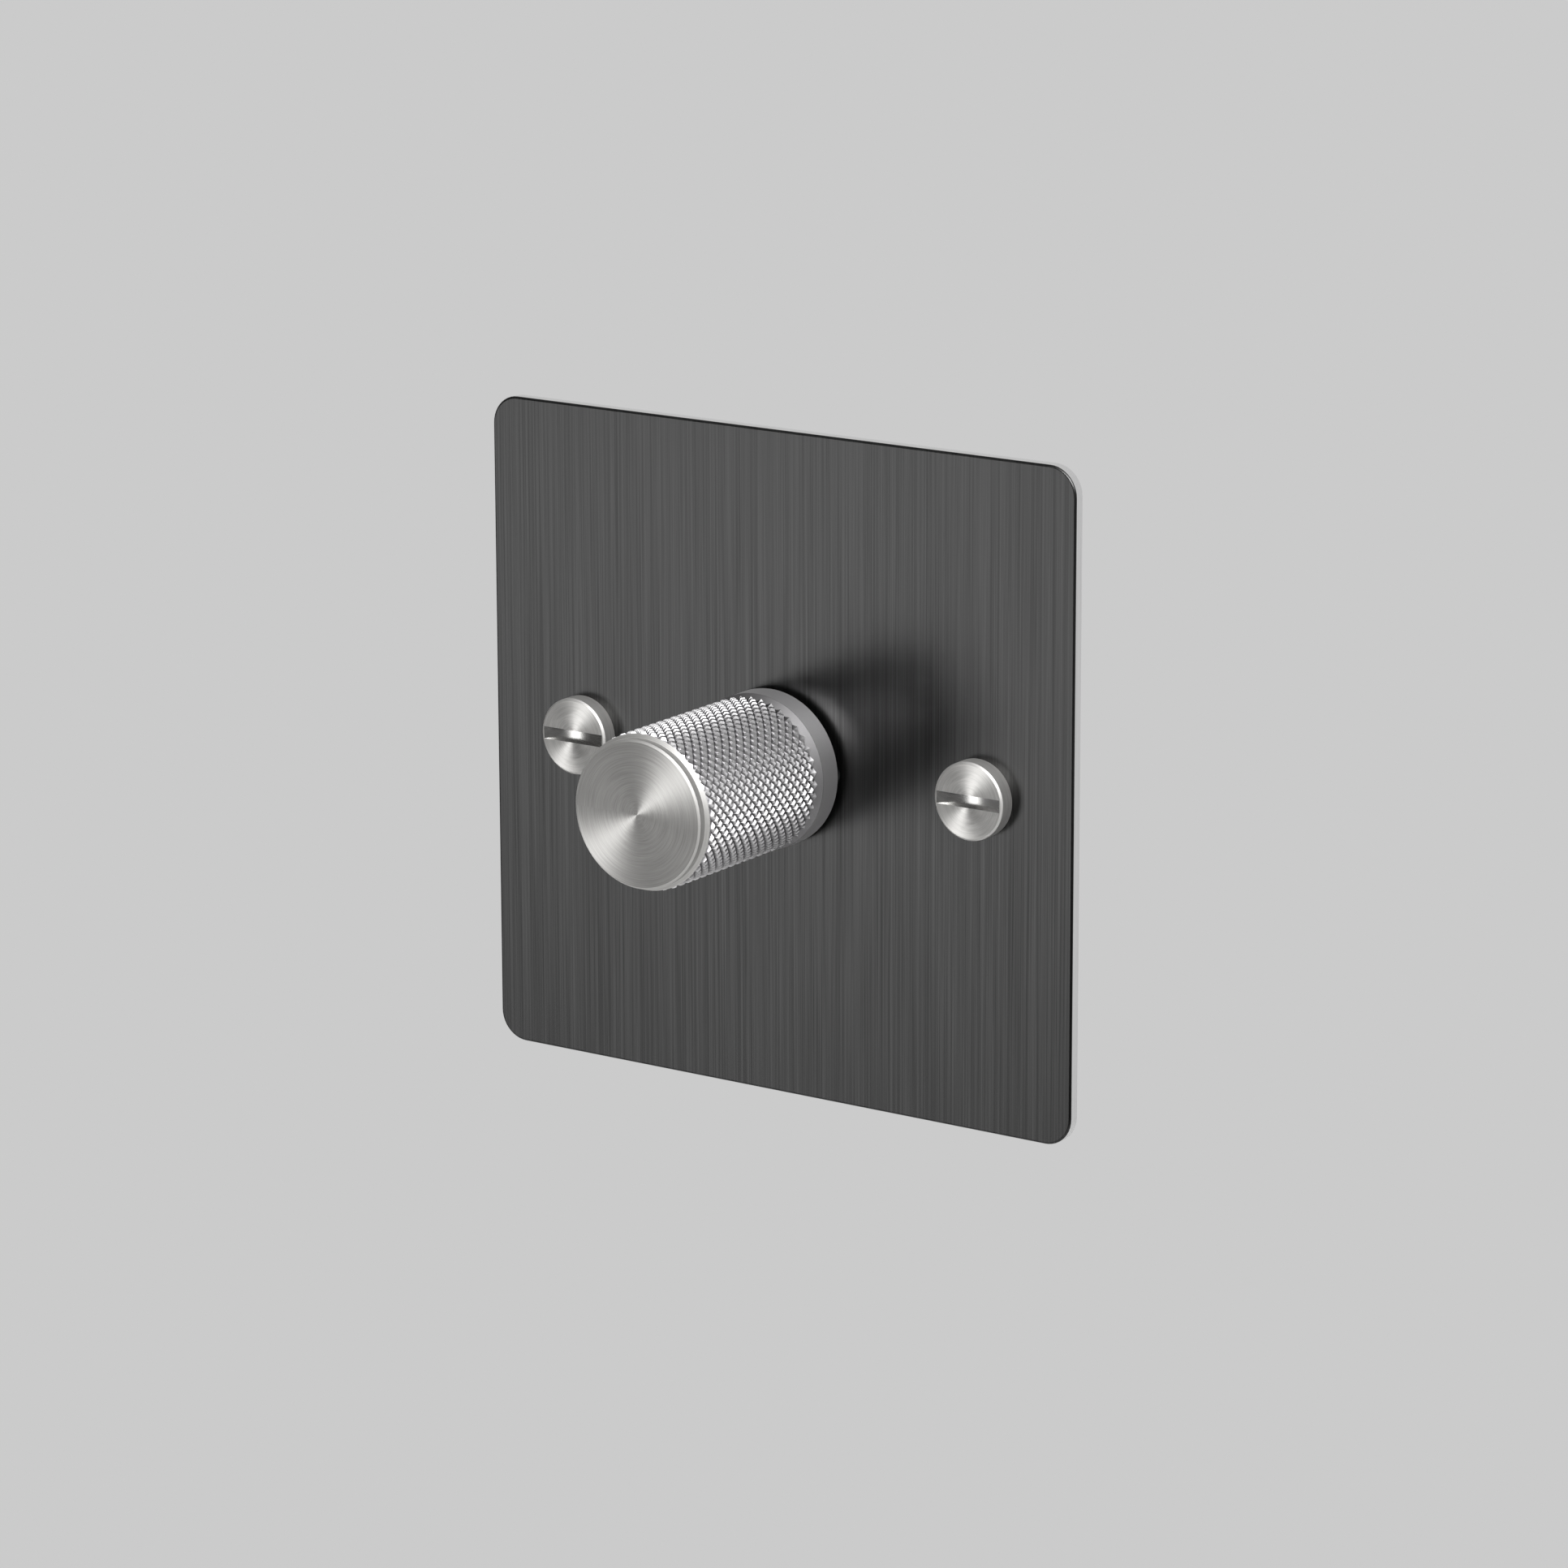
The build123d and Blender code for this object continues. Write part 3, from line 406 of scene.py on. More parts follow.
# %% [markdown]
# ## Blackened brushed steel
# The plate is steel, brushed from top to bottom and then blackened. Brushing leaves fine vertical
# grooves, so light spreads sideways and the plate looks even from all round, with thin lighter and
# darker lines. It is a metal, so its colour is in what it mirrors and its shadows go deep.
# The plate's colour is painted a little darker towards the lower edge and lighter towards the top:
# painted shade and painted light. The cut sides were left bright.
# Real grooves are 0.05 mm apart, too fine for the picture, so they are drawn 0.17 mm apart with
# broader bands of 1.1 mm over them.

# %% Front plate finish
groove_spacing, groove_length = 0.17 * mm, 40 * mm
band_spacing, band_length = 1.1 * mm, 90 * mm
groove_share = 0.7
painted_shade_change = 0.13
blackened, tree, output = new_material("blackened_brushed_steel")
fine = straight_lines(tree, groove_spacing, groove_length)
broad = straight_lines(tree, band_spacing, band_length)
bands = add_node(
    tree, "ShaderNodeMath", {"operation": "MULTIPLY", 1: 1 - groove_share}, {0: broad}
)
lines = add_node(
    tree,
    "ShaderNodeMath",
    {"operation": "MULTIPLY_ADD", 1: groove_share},
    {0: fine, 2: bands.outputs[0]},
)
grooves = add_node(
    tree,
    "ShaderNodeBump",
    {"Strength": 0.15, "Distance": 0.01 * mm},
    {"Height": fine},
)
place = add_node(tree, "ShaderNodeTexCoord")
place_parts = add_node(tree, "ShaderNodeSeparateXYZ", links={0: place.outputs["Object"]})
plate_low, plate_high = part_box("front_plate")
# painted shade: the colour runs lighter at the top and darker at the bottom, for how light falls on
# the plate
painted_shade_to_bottom = add_node(
    tree,
    "ShaderNodeMapRange",
    {
        "From Min": plate_low.z,
        "From Max": plate_high.z,
        "To Min": -painted_shade_change,
        "To Max": painted_shade_change,
    },
    {"Value": place_parts.outputs["Z"]},
)
shade = add_node(
    tree, "ShaderNodeMath", {"operation": "ADD"}, {0: lines.outputs[0], 1: painted_shade_to_bottom.outputs[0]}
)
sideways = add_node(tree, "ShaderNodeTangent", {"direction_type": "RADIAL", "axis": "Z"})
face = add_node(
    tree,
    "ShaderNodeBsdfPrincipled",
    {"Metallic": 1.0, "Anisotropic": 0.5},
    {
        "Base Color": between(tree, shade.outputs[0], "#303030", "#494949"),
        "Roughness": between(tree, broad, 0.29, 0.32),
        "Normal": grooves.outputs[0],
        "Tangent": sideways.outputs[0],
    },
)
rim = add_node(
    tree,
    "ShaderNodeBsdfPrincipled",
    {"Metallic": 1.0},
    {
        "Base Color": between(tree, fine, "#DDDDDD", "#EBEBEB"),
        "Roughness": between(tree, broad, 0.32, 0.38),
    },
)
tree.links.new(front_and_side(tree, face, rim, limit=0.25), output.inputs[0])
dress(blackened, "front_plate")

# %% [markdown]
# ## Turned stainless steel
# The end cap and the screw heads are turned on a lathe, and the tool leaves rings. Rings spread
# light outwards from the middle, so a flat face shows bright and dark sectors that stay where the
# lamp is while the piece turns. A radial tangent and high anisotropy make those sectors, and
# bevels and sides, which show no sectors, get an even satin.
# The tool's path is a spiral, so the lay can lean: the sectors of the screw heads stand a little
# steeper than the cap's. Real rings are 0.05 mm apart. They are drawn 0.12 mm apart.

# %% Turned steel finish, made for a piece's own axis
ring_spacing = 0.12 * mm
quarter_turn = 0.25  # so the sheen spreads across the rings, not along them


def turned_steel(name, centre, shade, lighter, lay):
    """Stainless steel with rings round the axis at centre (x, z); lay turns their sheen."""
    material, tree, output = new_material(name)
    rings = turning_lines(tree, centre, ring_spacing)
    ridges = add_node(
        tree, "ShaderNodeBump", {"Strength": 0.1, "Distance": 0.005 * mm}, {"Height": rings}
    )
    round_axis = add_node(tree, "ShaderNodeTangent", {"direction_type": "RADIAL", "axis": "Y"})
    face = add_node(
        tree,
        "ShaderNodeBsdfPrincipled",
        {"Metallic": 1.0, "Anisotropic": 0.8, "Anisotropic Rotation": quarter_turn + lay},
        {
            "Base Color": between(tree, rings, shade, lighter),
            "Roughness": between(tree, rings, 0.72, 0.78),
            "Normal": ridges.outputs[0],
            "Tangent": round_axis.outputs[0],
        },
    )
    edge = add_node(
        tree,
        "ShaderNodeBsdfPrincipled",
        {"Metallic": 1.0},
        {
            "Base Color": between(tree, rings, shade, lighter),
            "Roughness": between(tree, rings, 0.57, 0.63),
            "Normal": ridges.outputs[0],
        },
    )
    tree.links.new(front_and_side(tree, face, edge, limit=0.9), output.inputs[0])
    return material


right_low, right_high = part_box("fixing_screw_right")
screw_x = (right_low.x + right_high.x) / 2
# painted shade and light: the cap's steel is coloured darker and the screw heads' lighter, though
# all are the same turned steel
cap_steel = turned_steel("turned_stainless_cap", (0, 0), "#A9A8A6", "#BDBCBA", lay=0.0)
painted_lighter_head_look = {"shade": "#B5B4B2", "lighter": "#C9C8C6", "lay": -0.07}
left_steel = turned_steel("turned_stainless_left", (-screw_x, 0), **painted_lighter_head_look)
right_steel = turned_steel("turned_stainless_right", (screw_x, 0), **painted_lighter_head_look)
dress(cap_steel, "knob_end_cap")
dress(left_steel, "fixing_screw_left")
dress(right_steel, "fixing_screw_right")

# %% [markdown]
# ## Grip with flat-topped diamonds
# A knurling wheel pushes two crossed sets of grooves into the bar, and never quite to a point: each
# diamond keeps a small rubbed top. The CAD model has sharp pyramids. One way is to build a diamond
# and repeat it. Here a copy of the CAD grip is merged, each tip is bevelled off and the new top is
# pushed back out to the crest, so chamfer, base band and pocket stay exactly where they are.

# %% Helpers for editing a mesh
def start_editing(piece):
    """Select one piece alone and go into edit mode with nothing selected."""
    bpy.ops.object.select_all(action="DESELECT")
    bpy.context.view_layer.objects.active = piece
    piece.select_set(True)
    bpy.ops.object.mode_set(mode="EDIT")
    bpy.ops.mesh.select_all(action="DESELECT")


def finish_editing():
    """Turn all faces outwards and leave edit mode."""
    bpy.ops.mesh.select_all(action="SELECT")
    bpy.ops.mesh.normals_make_consistent(inside=False)
    bpy.ops.object.mode_set(mode="OBJECT")


def wind_up(outline, pitch, turns, steps):
    """Sweep a small outline round the Y axis and along it, as a helix."""
    helix = outline.modifiers.new("helix", "SCREW")
    helix.axis = "Y"
    helix.screw_offset = pitch
    helix.iterations = turns
    helix.steps = helix.render_steps = steps
    bpy.ops.object.modifier_apply(modifier="helix")


print("helpers for editing ready")

# %% A merged copy of the grip
grip = bpy.data.objects.new("knurled_grip", nodes["knob_grip"].data.copy())
bpy.context.scene.collection.objects.link(grip)
start_editing(grip)
bpy.ops.mesh.select_mode(type="VERT")
bpy.ops.mesh.select_all(action="SELECT")
bpy.ops.mesh.remove_doubles(threshold=0.001 * mm)
bpy.ops.mesh.customdata_custom_splitnormals_clear()
bpy.ops.mesh.select_all(action="DESELECT")
bpy.ops.object.mode_set(mode="OBJECT")
print(f"merged grip: {len(grip.data.vertices)} corners")

# %% [markdown]
# ### Which corners are whole tips
# A whole tip lies at the crest radius and has four edges, one to each root round it. The tips along
# the knurl's two ends, and those that the chamfer or the grub screw's hole cuts, have fewer or
# shorter edges. They stay as they are.

# %% Bevel the whole tips and crown their tops
crest_radius = 10.0 * mm
groove_depth = 0.5 * mm
root_distance = 0.785 * mm  # from a crest to the next root round the grip
knurl_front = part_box("knob_grip")[0].y
knurl_back = -7.9 * mm  # where the bevel of the base band begins
base_bevel = 1.2 * mm
tip_bevel = 0.41 * mm
shortest_edge = 1.2 * tip_bevel
top_inset = 0.07 * mm
top_crown = 0.04 * mm
tolerance = 0.01 * mm
corners = grip.data.vertices
spokes = {}
for edge in grip.data.edges:
    first, second = edge.vertices
    length = (corners[first].co - corners[second].co).length
    spokes.setdefault(first, []).append(length)
    spokes.setdefault(second, []).append(length)
whole_tips = set()
for index, lengths in spokes.items():
    point = corners[index].co
    on_knurl = knurl_front < point.y < knurl_back + tolerance
    at_crest = math.hypot(point.x, point.z) > crest_radius - tolerance
    if on_knurl and at_crest and len(lengths) == 4 and min(lengths) > shortest_edge:
        whole_tips.add(index)
for index, corner in enumerate(corners):
    corner.select = index in whole_tips
bpy.ops.object.mode_set(mode="EDIT")
bpy.ops.mesh.bevel(offset=tip_bevel, segments=1, affect="VERTICES")
tops_radius = crest_radius - tip_bevel * groove_depth / math.hypot(root_distance, groove_depth)
push_out = (crest_radius - top_crown) / tops_radius
bpy.ops.transform.resize(value=(push_out, 1, push_out), center_override=(0, 0, 0))
bpy.ops.mesh.select_mode(type="FACE")
bpy.ops.mesh.inset(thickness=top_inset, depth=top_crown, use_individual=True)
bpy.ops.object.mode_set(mode="OBJECT")
bpy.ops.object.shade_smooth_by_angle(angle=math.radians(28))
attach(grip, "knob")
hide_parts("knob_grip")
print(f"knurled_grip: {len(whole_tips)} diamonds, {len(grip.data.polygons)} faces")

# %% [markdown]
# ## Knurled stainless steel
# The crests are bright and the grooves darker: the groove colour is painted shade in the recesses.
# Distance from the axis tells crest from groove, and depth tells the grip from the bevel and the
# smooth satin band behind it, so one material serves the whole piece. The rolled skin has fine
# pits, drawn 0.12 mm apart.

# %% Knurled grip finish
bright_radius = 9.85 * mm
pit_spacing = 0.12 * mm
fade = 0.1 * mm
knurled, tree, output = new_material("knurled_stainless_steel")
radius, _, depth = distance_angle_depth(tree, (0, 0))
# painted shade: the grooves are coloured darker than the crests, by distance from the axis
crest = add_node(
    tree,
    "ShaderNodeMapRange",
    {"From Min": crest_radius - groove_depth, "From Max": bright_radius},
    {"Value": radius},
)
painted_groove_shade = add_node(
    tree,
    "ShaderNodeMix",
    {"data_type": "RGBA", mix_low: colour("#807F82"), mix_high: colour("#DCDBDC")},
    {0: crest.outputs[0]},
)
place = add_node(tree, "ShaderNodeTexCoord")
grain = add_node(
    tree,
    "ShaderNodeTexNoise",
    {"Scale": 1 / pit_spacing, "Detail": 2.0},
    {"Vector": place.outputs["Object"]},
)
pits = add_node(
    tree, "ShaderNodeBump", {"Strength": 0.1, "Distance": 0.01 * mm}, {"Height": grain.outputs[0]}
)
on_band = add_node(
    tree,
    "ShaderNodeMapRange",
    {"From Min": knurl_back, "From Max": knurl_back + fade},
    {"Value": depth},
)
band_front = knurl_back + base_bevel
past_bevel = add_node(
    tree,
    "ShaderNodeMapRange",
    {"From Min": band_front, "From Max": band_front + fade},
    {"Value": depth},
)
# painted shade and light: the bevel is coloured darker and the band behind it lighter, though both
# are the same turned steel
painted_bevel_shade_band_light = add_node(
    tree,
    "ShaderNodeMix",
    {"data_type": "RGBA", mix_low: colour("#8C8B8C"), mix_high: colour("#CFCECF")},
    {0: past_bevel.outputs[0]},
)
grip_colour_with_painted_shade = add_node(
    tree,
    "ShaderNodeMix",
    {"data_type": "RGBA"},
    {
        0: on_band.outputs[0],
        mix_low: painted_groove_shade.outputs[mix_result],
        mix_high: painted_bevel_shade_band_light.outputs[mix_result],
    },
)
satin = 0.2  # how much rougher the bevel and the band are
roughness = add_node(
    tree,
    "ShaderNodeMath",
    {"operation": "MULTIPLY_ADD", 1: satin},
    {0: on_band.outputs[0], 2: between(tree, grain.outputs[0], 0.30, 0.36)},
)
steel = add_node(
    tree,
    "ShaderNodeBsdfPrincipled",
    {"Metallic": 1.0},
    {
        "Base Color": grip_colour_with_painted_shade.outputs[mix_result],
        "Roughness": roughness.outputs[0],
        "Normal": pits.outputs[0],
    },
)
tree.links.new(steel.outputs[0], output.inputs[0])
dress(knurled, "knob_grip")
grip.data.materials.clear()
grip.data.materials.append(knurled)

# %% [markdown]
# ## Fixing screws
# Each screw is turned from bar: a plain round head, a thin neck and an M3.5 thread. A disc cutter
# plunges into the head, so the slot's floor is a shallow arc and its ends are closed.
# A screw could be a revolved outline. Here one ring of edges is drawn out step by step, as on a
# lathe, then the slot is cut with a boolean and the thread is wound with a Screw modifier.

# %% Screw body
lowest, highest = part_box("fixing_screw_left")
head_radius = (highest.x - lowest.x) / 2
head_front = lowest.y
screw_tip = highest.y
plate_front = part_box("front_plate")[0].y
head_chamfer = 0.25 * mm
neck_radius = 1.5 * mm
neck_end = plate_front + 6.0 * mm
neck_taper = 0.2 * mm
thread_crest = 1.75 * mm
thread_root = 1.38 * mm
thread_pitch = 0.6 * mm
point_length = 0.8 * mm
point_radius = thread_root - 0.5 * mm
screw_steps = [
    (head_radius, head_front + head_chamfer),
    (head_radius, plate_front),
    (neck_radius, plate_front),
    (neck_radius, neck_end),
    (thread_root, neck_end + neck_taper),
    (thread_root, screw_tip - point_length),
    (point_radius, screw_tip),
]
bpy.ops.object.select_all(action="DESELECT")
bpy.ops.mesh.primitive_circle_add(
    vertices=96,
    radius=head_radius - head_chamfer,
    fill_type="NGON",
    location=(-screw_x, head_front, 0),
    rotation=(math.pi / 2, 0, 0),
)
screw = bpy.context.active_object
screw.name = "slotted_screw_left"
bpy.ops.object.transform_apply()
bpy.ops.object.mode_set(mode="EDIT")
bpy.ops.mesh.select_mode(type="EDGE")
ring_radius, ring_depth = head_radius - head_chamfer, head_front
for next_radius, next_depth in screw_steps:
    bpy.ops.mesh.extrude_edges_move(
        TRANSFORM_OT_translate={"value": (0, next_depth - ring_depth, 0)}
    )
    scale = next_radius / ring_radius
    bpy.ops.transform.resize(value=(scale, 1, scale), center_override=(-screw_x, 0, 0))
    ring_radius, ring_depth = next_radius, next_depth
bpy.ops.mesh.edge_face_add()
finish_editing()
screw.data.materials.append(left_steel)
print(f"screw body: {len(screw.data.polygons)} faces")

# %% [markdown]
# ### Slot
# The cutter is a disc as thick as the slot is wide. It stands on edge and dips into the head. Its
# marks run along the slot, and the floor mirrors like a shallow trough: bright in the middle and
# dark at both ends. Real marks are 0.05 mm apart. They are drawn 0.25 mm apart. The cut faces take
# the cutter's own finish.

# %% Milled finish for the slot
mark_spacing, mark_length = 0.25 * mm, 8 * mm
milled, tree, output = new_material("milled_stainless_slot")
marks = straight_lines(tree, mark_spacing, mark_length, along="X")
across_slot = add_node(tree, "ShaderNodeTangent", {"direction_type": "RADIAL", "axis": "X"})
steel = add_node(
    tree,
    "ShaderNodeBsdfPrincipled",
    {"Metallic": 1.0, "Anisotropic": 0.2},
    {
        "Base Color": between(tree, marks, "#BAB9B7", "#C4C3C1"),
        "Roughness": between(tree, marks, 0.23, 0.27),
        "Tangent": across_slot.outputs[0],
    },
)
tree.links.new(steel.outputs[0], output.inputs[0])
print("slot finish:", milled.name)

# %% Cut the slot
slot_width = 1.6 * mm
slot_depth = 1.1 * mm
slot_wall = 0.4 * mm
half_slot = head_radius - slot_wall
cutter_radius = (half_slot**2 + slot_depth**2) / (2 * slot_depth)
bpy.ops.object.select_all(action="DESELECT")
bpy.ops.mesh.primitive_cylinder_add(
    vertices=256,
    radius=cutter_radius,
    depth=slot_width,
    location=(-screw_x, head_front + slot_depth - cutter_radius, 0),
)
cutter = bpy.context.active_object
cutter.data.materials.append(milled)
bpy.ops.object.select_all(action="DESELECT")
bpy.context.view_layer.objects.active = screw
screw.select_set(True)
cut = screw.modifiers.new("slot", "BOOLEAN")
cut.operation = "DIFFERENCE"
cut.object = cutter
cut.solver = "EXACT"
cut.material_mode = "TRANSFER"
bpy.ops.object.modifier_apply(modifier="slot")
bpy.data.objects.remove(cutter)
print(f"slot: {slot_width / mm:.1f} mm wide, cutter radius {cutter_radius / mm:.1f} mm")

# %% [markdown]
# ### Thread
# A thread is one V ridge wound round the core. A Screw modifier winds a triangle up the axis, and
# the triangle's foot lies inside the core, so no seam shows. The foot is a little shorter than the
# pitch, so the turns don't share an edge.

# %% Wind the thread and join it to the body
thread_gap = 0.3 * mm  # from the neck to the first turn
ridge_sink = 0.08 * mm
ridge_foot = 0.98 * thread_pitch
turns = int((screw_tip - point_length - thread_gap - neck_end) / thread_pitch)
bpy.ops.object.select_all(action="DESELECT")
bpy.ops.mesh.primitive_circle_add(
    vertices=3, radius=thread_pitch / 2, location=(0, 0, 0), fill_type="NOTHING"
)
ridge = bpy.context.active_object
ridge.name = "thread_ridge"
outline = [
    (thread_root - ridge_sink, 0.0),
    (thread_crest, thread_pitch / 2),
    (thread_root - ridge_sink, ridge_foot),
]
for vertex, (distance, along) in zip(ridge.data.vertices, outline):
    vertex.co = (distance, along, 0)
wind_up(ridge, thread_pitch, turns, steps=24)
start_editing(ridge)
bpy.ops.mesh.select_mode(type="EDGE")
bpy.ops.mesh.select_non_manifold()
bpy.ops.mesh.edge_face_add()
finish_editing()
low_end = min(vertex.co.y for vertex in ridge.data.vertices)
ridge.location = (-screw_x, neck_end + thread_gap - low_end, 0)
bpy.ops.object.transform_apply()
ridge.data.materials.append(left_steel)
bpy.ops.object.select_all(action="DESELECT")
ridge.select_set(True)
screw.select_set(True)
bpy.context.view_layer.objects.active = screw
bpy.ops.object.join()
bpy.ops.object.shade_smooth_by_angle(angle=math.radians(30))
print(f"thread: {turns} turns, {len(screw.data.polygons)} faces in the screw")

# %% [markdown]
# ### The second screw
# Both screws are alike, so the finished one is copied with its own mesh and moved across.

# %% Copy the screw to the other side
right_screw = bpy.data.objects.new("slotted_screw_right", screw.data.copy())
bpy.context.scene.collection.objects.link(right_screw)
start_editing(right_screw)
bpy.ops.mesh.select_all(action="SELECT")
bpy.ops.transform.translate(value=(2 * screw_x, 0, 0))
bpy.ops.object.mode_set(mode="OBJECT")
right_screw.data.materials[0] = right_steel
for piece, node in ((screw, "fixing_screw_left"), (right_screw, "fixing_screw_right")):
    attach(piece, "base")
    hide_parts(node)
print("screws:", screw.name, right_screw.name)

# %% [markdown]
# ## Moulded plastics and rubber
# The housing, cover and switch are injection moulded in spark-eroded steel, which leaves a fine
# even texture, and thick plastic varies a little in shade. A family of finishes shares one recipe:
# a broad mottle for the shade, and a fine grain for the gloss and the bump. The rubber gasket, the
# ferrite and the capacitor's case are made in moulds too. The grain is 0.15 mm on a real mould and
# is drawn at 0.2 to 0.35 mm.

# %% Moulded finish
mottle_size = 6 * mm
gloss_change = 0.06


def moulded(name, shade, lighter, grain_size, roughness, bump):
    """Plastic or rubber from a mould: a mottled shade and a fine grain in gloss and height."""
    material, tree, output = new_material(name)
    place = add_node(tree, "ShaderNodeTexCoord")
    mottle = add_node(
        tree,
        "ShaderNodeTexNoise",
        {"Scale": 1 / mottle_size, "Detail": 3.0},
        {"Vector": place.outputs["Object"]},
    )
    grain = add_node(
        tree,
        "ShaderNodeTexNoise",
        {"Scale": 1 / grain_size, "Detail": 2.0},
        {"Vector": place.outputs["Object"]},
    )
    texture = add_node(
        tree,
        "ShaderNodeBump",
        {"Strength": bump, "Distance": 0.02 * mm},
        {"Height": grain.outputs[0]},
    )
    smoother, rougher = roughness - gloss_change, roughness + gloss_change
    plastic = add_node(
        tree,
        "ShaderNodeBsdfPrincipled",
        links={
            "Base Color": between(tree, mottle.outputs[0], shade, lighter),
            "Roughness": between(tree, grain.outputs[0], smoother, rougher),
            "Normal": texture.outputs[0],
        },
    )
    tree.links.new(plastic.outputs[0], output.inputs[0])
    return material


black_nylon = moulded("black_glass_filled_nylon", "#1D1E1F", "#2A2B2C", 0.2 * mm, 0.5, 0.5)
dress(black_nylon, "module_housing", "rear_cover")
white_acetal = moulded("white_acetal", "#DADBD6", "#E6E6E2", 0.25 * mm, 0.38, 0.2)
dress(white_acetal, "wiper_carrier", "switch_plunger")
grey_nylon = moulded("grey_nylon", "#7C8184", "#8B9093", 0.2 * mm, 0.46, 0.4)
dress(grey_nylon, "terminal_block", "switch_case", "switch_base")
neoprene = moulded("black_neoprene", "#191919", "#262625", 0.35 * mm, 0.8, 0.9)
dress(neoprene, "wall_gasket")

# %% [markdown]
# ## Plain machined and drawn metals
# The hidden metal parts are cut, drawn, rolled or stamped, and the steel ones are plated. What they
# share is fine tool lines in one direction, with patches where the skin is a little darker. Real
# lines are 0.05 mm apart. They are drawn 0.08 to 0.2 mm apart.

# %% Machined finish
line_length = 6 * mm
patch_size = 3 * mm


def machined(name, shade, lighter, line_spacing, roughness, along="Z"):
    """Metal with fine tool lines along an axis and a patchy skin."""
    material, tree, output = new_material(name)
    lines = straight_lines(tree, line_spacing, line_length, along)
    place = add_node(tree, "ShaderNodeTexCoord")
    patches = add_node(
        tree,
        "ShaderNodeTexNoise",
        {"Scale": 1 / patch_size, "Detail": 3.0},
        {"Vector": place.outputs["Object"]},
    )
    scratches = add_node(
        tree, "ShaderNodeBump", {"Strength": 0.2, "Distance": 0.01 * mm}, {"Height": lines}
    )
    smoother, rougher = roughness - gloss_change, roughness + gloss_change
    metal = add_node(
        tree,
        "ShaderNodeBsdfPrincipled",
        {"Metallic": 1.0},
        {
            "Base Color": between(tree, patches.outputs[0], shade, lighter),
            "Roughness": between(tree, lines, smoother, rougher),
            "Normal": scratches.outputs[0],
        },
    )
    tree.links.new(metal.outputs[0], output.inputs[0])
    return material


aluminium = machined("rolled_aluminium_sheet", "#B9BCBE", "#CDD0D1", 0.2 * mm, 0.38)
dress(aluminium, "heat_spreader")
brass = machined("machined_brass", "#B08D4C", "#CBA863", 0.15 * mm, 0.34, "X")
dress(brass, "bush_nut", "control_bush", "control_shaft", "earth_terminal")
dress(brass, "terminal_clamp_1", "terminal_clamp_2", "terminal_clamp_3")
zinc = machined("zinc_plated_steel", "#A9AFB2", "#C4C8C6", 0.2 * mm, 0.36, "Y")
dress(zinc, "lock_washer", "cover_screws", "earth_screw", "triac_screw", "pot_case", "shaft_clip")
dress(zinc, "terminal_screw_1", "terminal_screw_2", "terminal_screw_3")
black_steel = machined("black_oxide_steel", "#26272A", "#34363A", 0.1 * mm, 0.42)
dress(black_steel, "knob_grub_screw")
spring_wire = machined("drawn_spring_wire", "#9A9C9E", "#B4B6B7", 0.08 * mm, 0.3, "Y")
dress(spring_wire, "return_spring")
bronze = machined("rolled_phosphor_bronze", "#A9744A", "#C08B5E", 0.12 * mm, 0.32)
dress(bronze, "contact_bridge", "contact_blade_left", "contact_blade_right", "wiper_contact")

# %% [markdown]
# ## Return spring
# The spring behind the switch plunger is coiled from drawn steel wire, and gets 0.7 mm shorter when
# the knob is pushed. The wire could be a curve with a bevel. Here a small circle is swept along the
# coil by a Screw modifier, as a coiling machine feeds wire, and the spring keeps a mesh of its own.

# %% Return spring
spring_low, spring_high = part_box("return_spring")
wire_radius = 0.25 * mm
coil_radius = spring_high.x - wire_radius
coils = 5
wire_sides = 10
spring_length = spring_high.y - spring_low.y
coil_pitch = (spring_length - 2 * wire_radius) / coils
bpy.ops.object.select_all(action="DESELECT")
bpy.ops.mesh.primitive_circle_add(
    vertices=wire_sides, radius=wire_radius, location=(coil_radius, spring_low.y + wire_radius, 0)
)
spring = bpy.context.active_object
spring.name = "coiled_return_spring"
bpy.ops.object.transform_apply()
wind_up(spring, coil_pitch, coils, steps=32)
start_editing(spring)
bpy.ops.mesh.select_all(action="SELECT")
bpy.ops.mesh.fill_holes(sides=wire_sides)
finish_editing()
bpy.ops.object.shade_smooth_by_angle(angle=math.radians(40))
spring.data.materials.append(spring_wire)
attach(spring, "base")
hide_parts("return_spring")
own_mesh(spring)
print(f"spring: {coils} coils, {spring_length / mm:.1f} mm, {len(spring.data.polygons)} faces")

# %% [markdown]
# ## Circuit board laminate
# The board is woven glass in epoxy. Its yarns are about 0.4 mm apart and show faintly through the
# green lacquer as a check of two crossed waves.

# %% Circuit board finish
wave_length = 0.314  # how long one wave of the Wave texture is at a scale of 1
two_yarns = 0.8 * mm  # one over and one under
laminate, tree, output = new_material("glass_epoxy_laminate")
place = add_node(tree, "ShaderNodeTexCoord")
weft = add_node(
    tree,
    "ShaderNodeTexWave",
    {"bands_direction": "X", "Scale": wave_length / two_yarns, "Distortion": 0.4},
    {"Vector": place.outputs["Object"]},
)
warp = add_node(
    tree,
    "ShaderNodeTexWave",
    {"bands_direction": "Z", "Scale": wave_length / two_yarns, "Distortion": 0.4},
    {"Vector": place.outputs["Object"]},
)
weave = add_node(
    tree, "ShaderNodeMath", {"operation": "MULTIPLY"}, {0: weft.outputs[1], 1: warp.outputs[1]}
)
lacquer = add_node(
    tree,
    "ShaderNodeBsdfPrincipled",
    {"Coat Weight": 0.4, "Coat Roughness": 0.15},
    {
        "Base Color": between(tree, weave.outputs[0], "#1F4A33", "#2C6044"),
        "Roughness": between(tree, weave.outputs[0], 0.40, 0.52),
    },
)
tree.links.new(lacquer.outputs[0], output.inputs[0])
dress(laminate, "circuit_board")

# %% [markdown]
# ## Carbon track
# The potentiometer's wafer is brown phenolic paper with a printed ring of black carbon, where the
# wiper's fingers run at 4.6 mm from the axis.

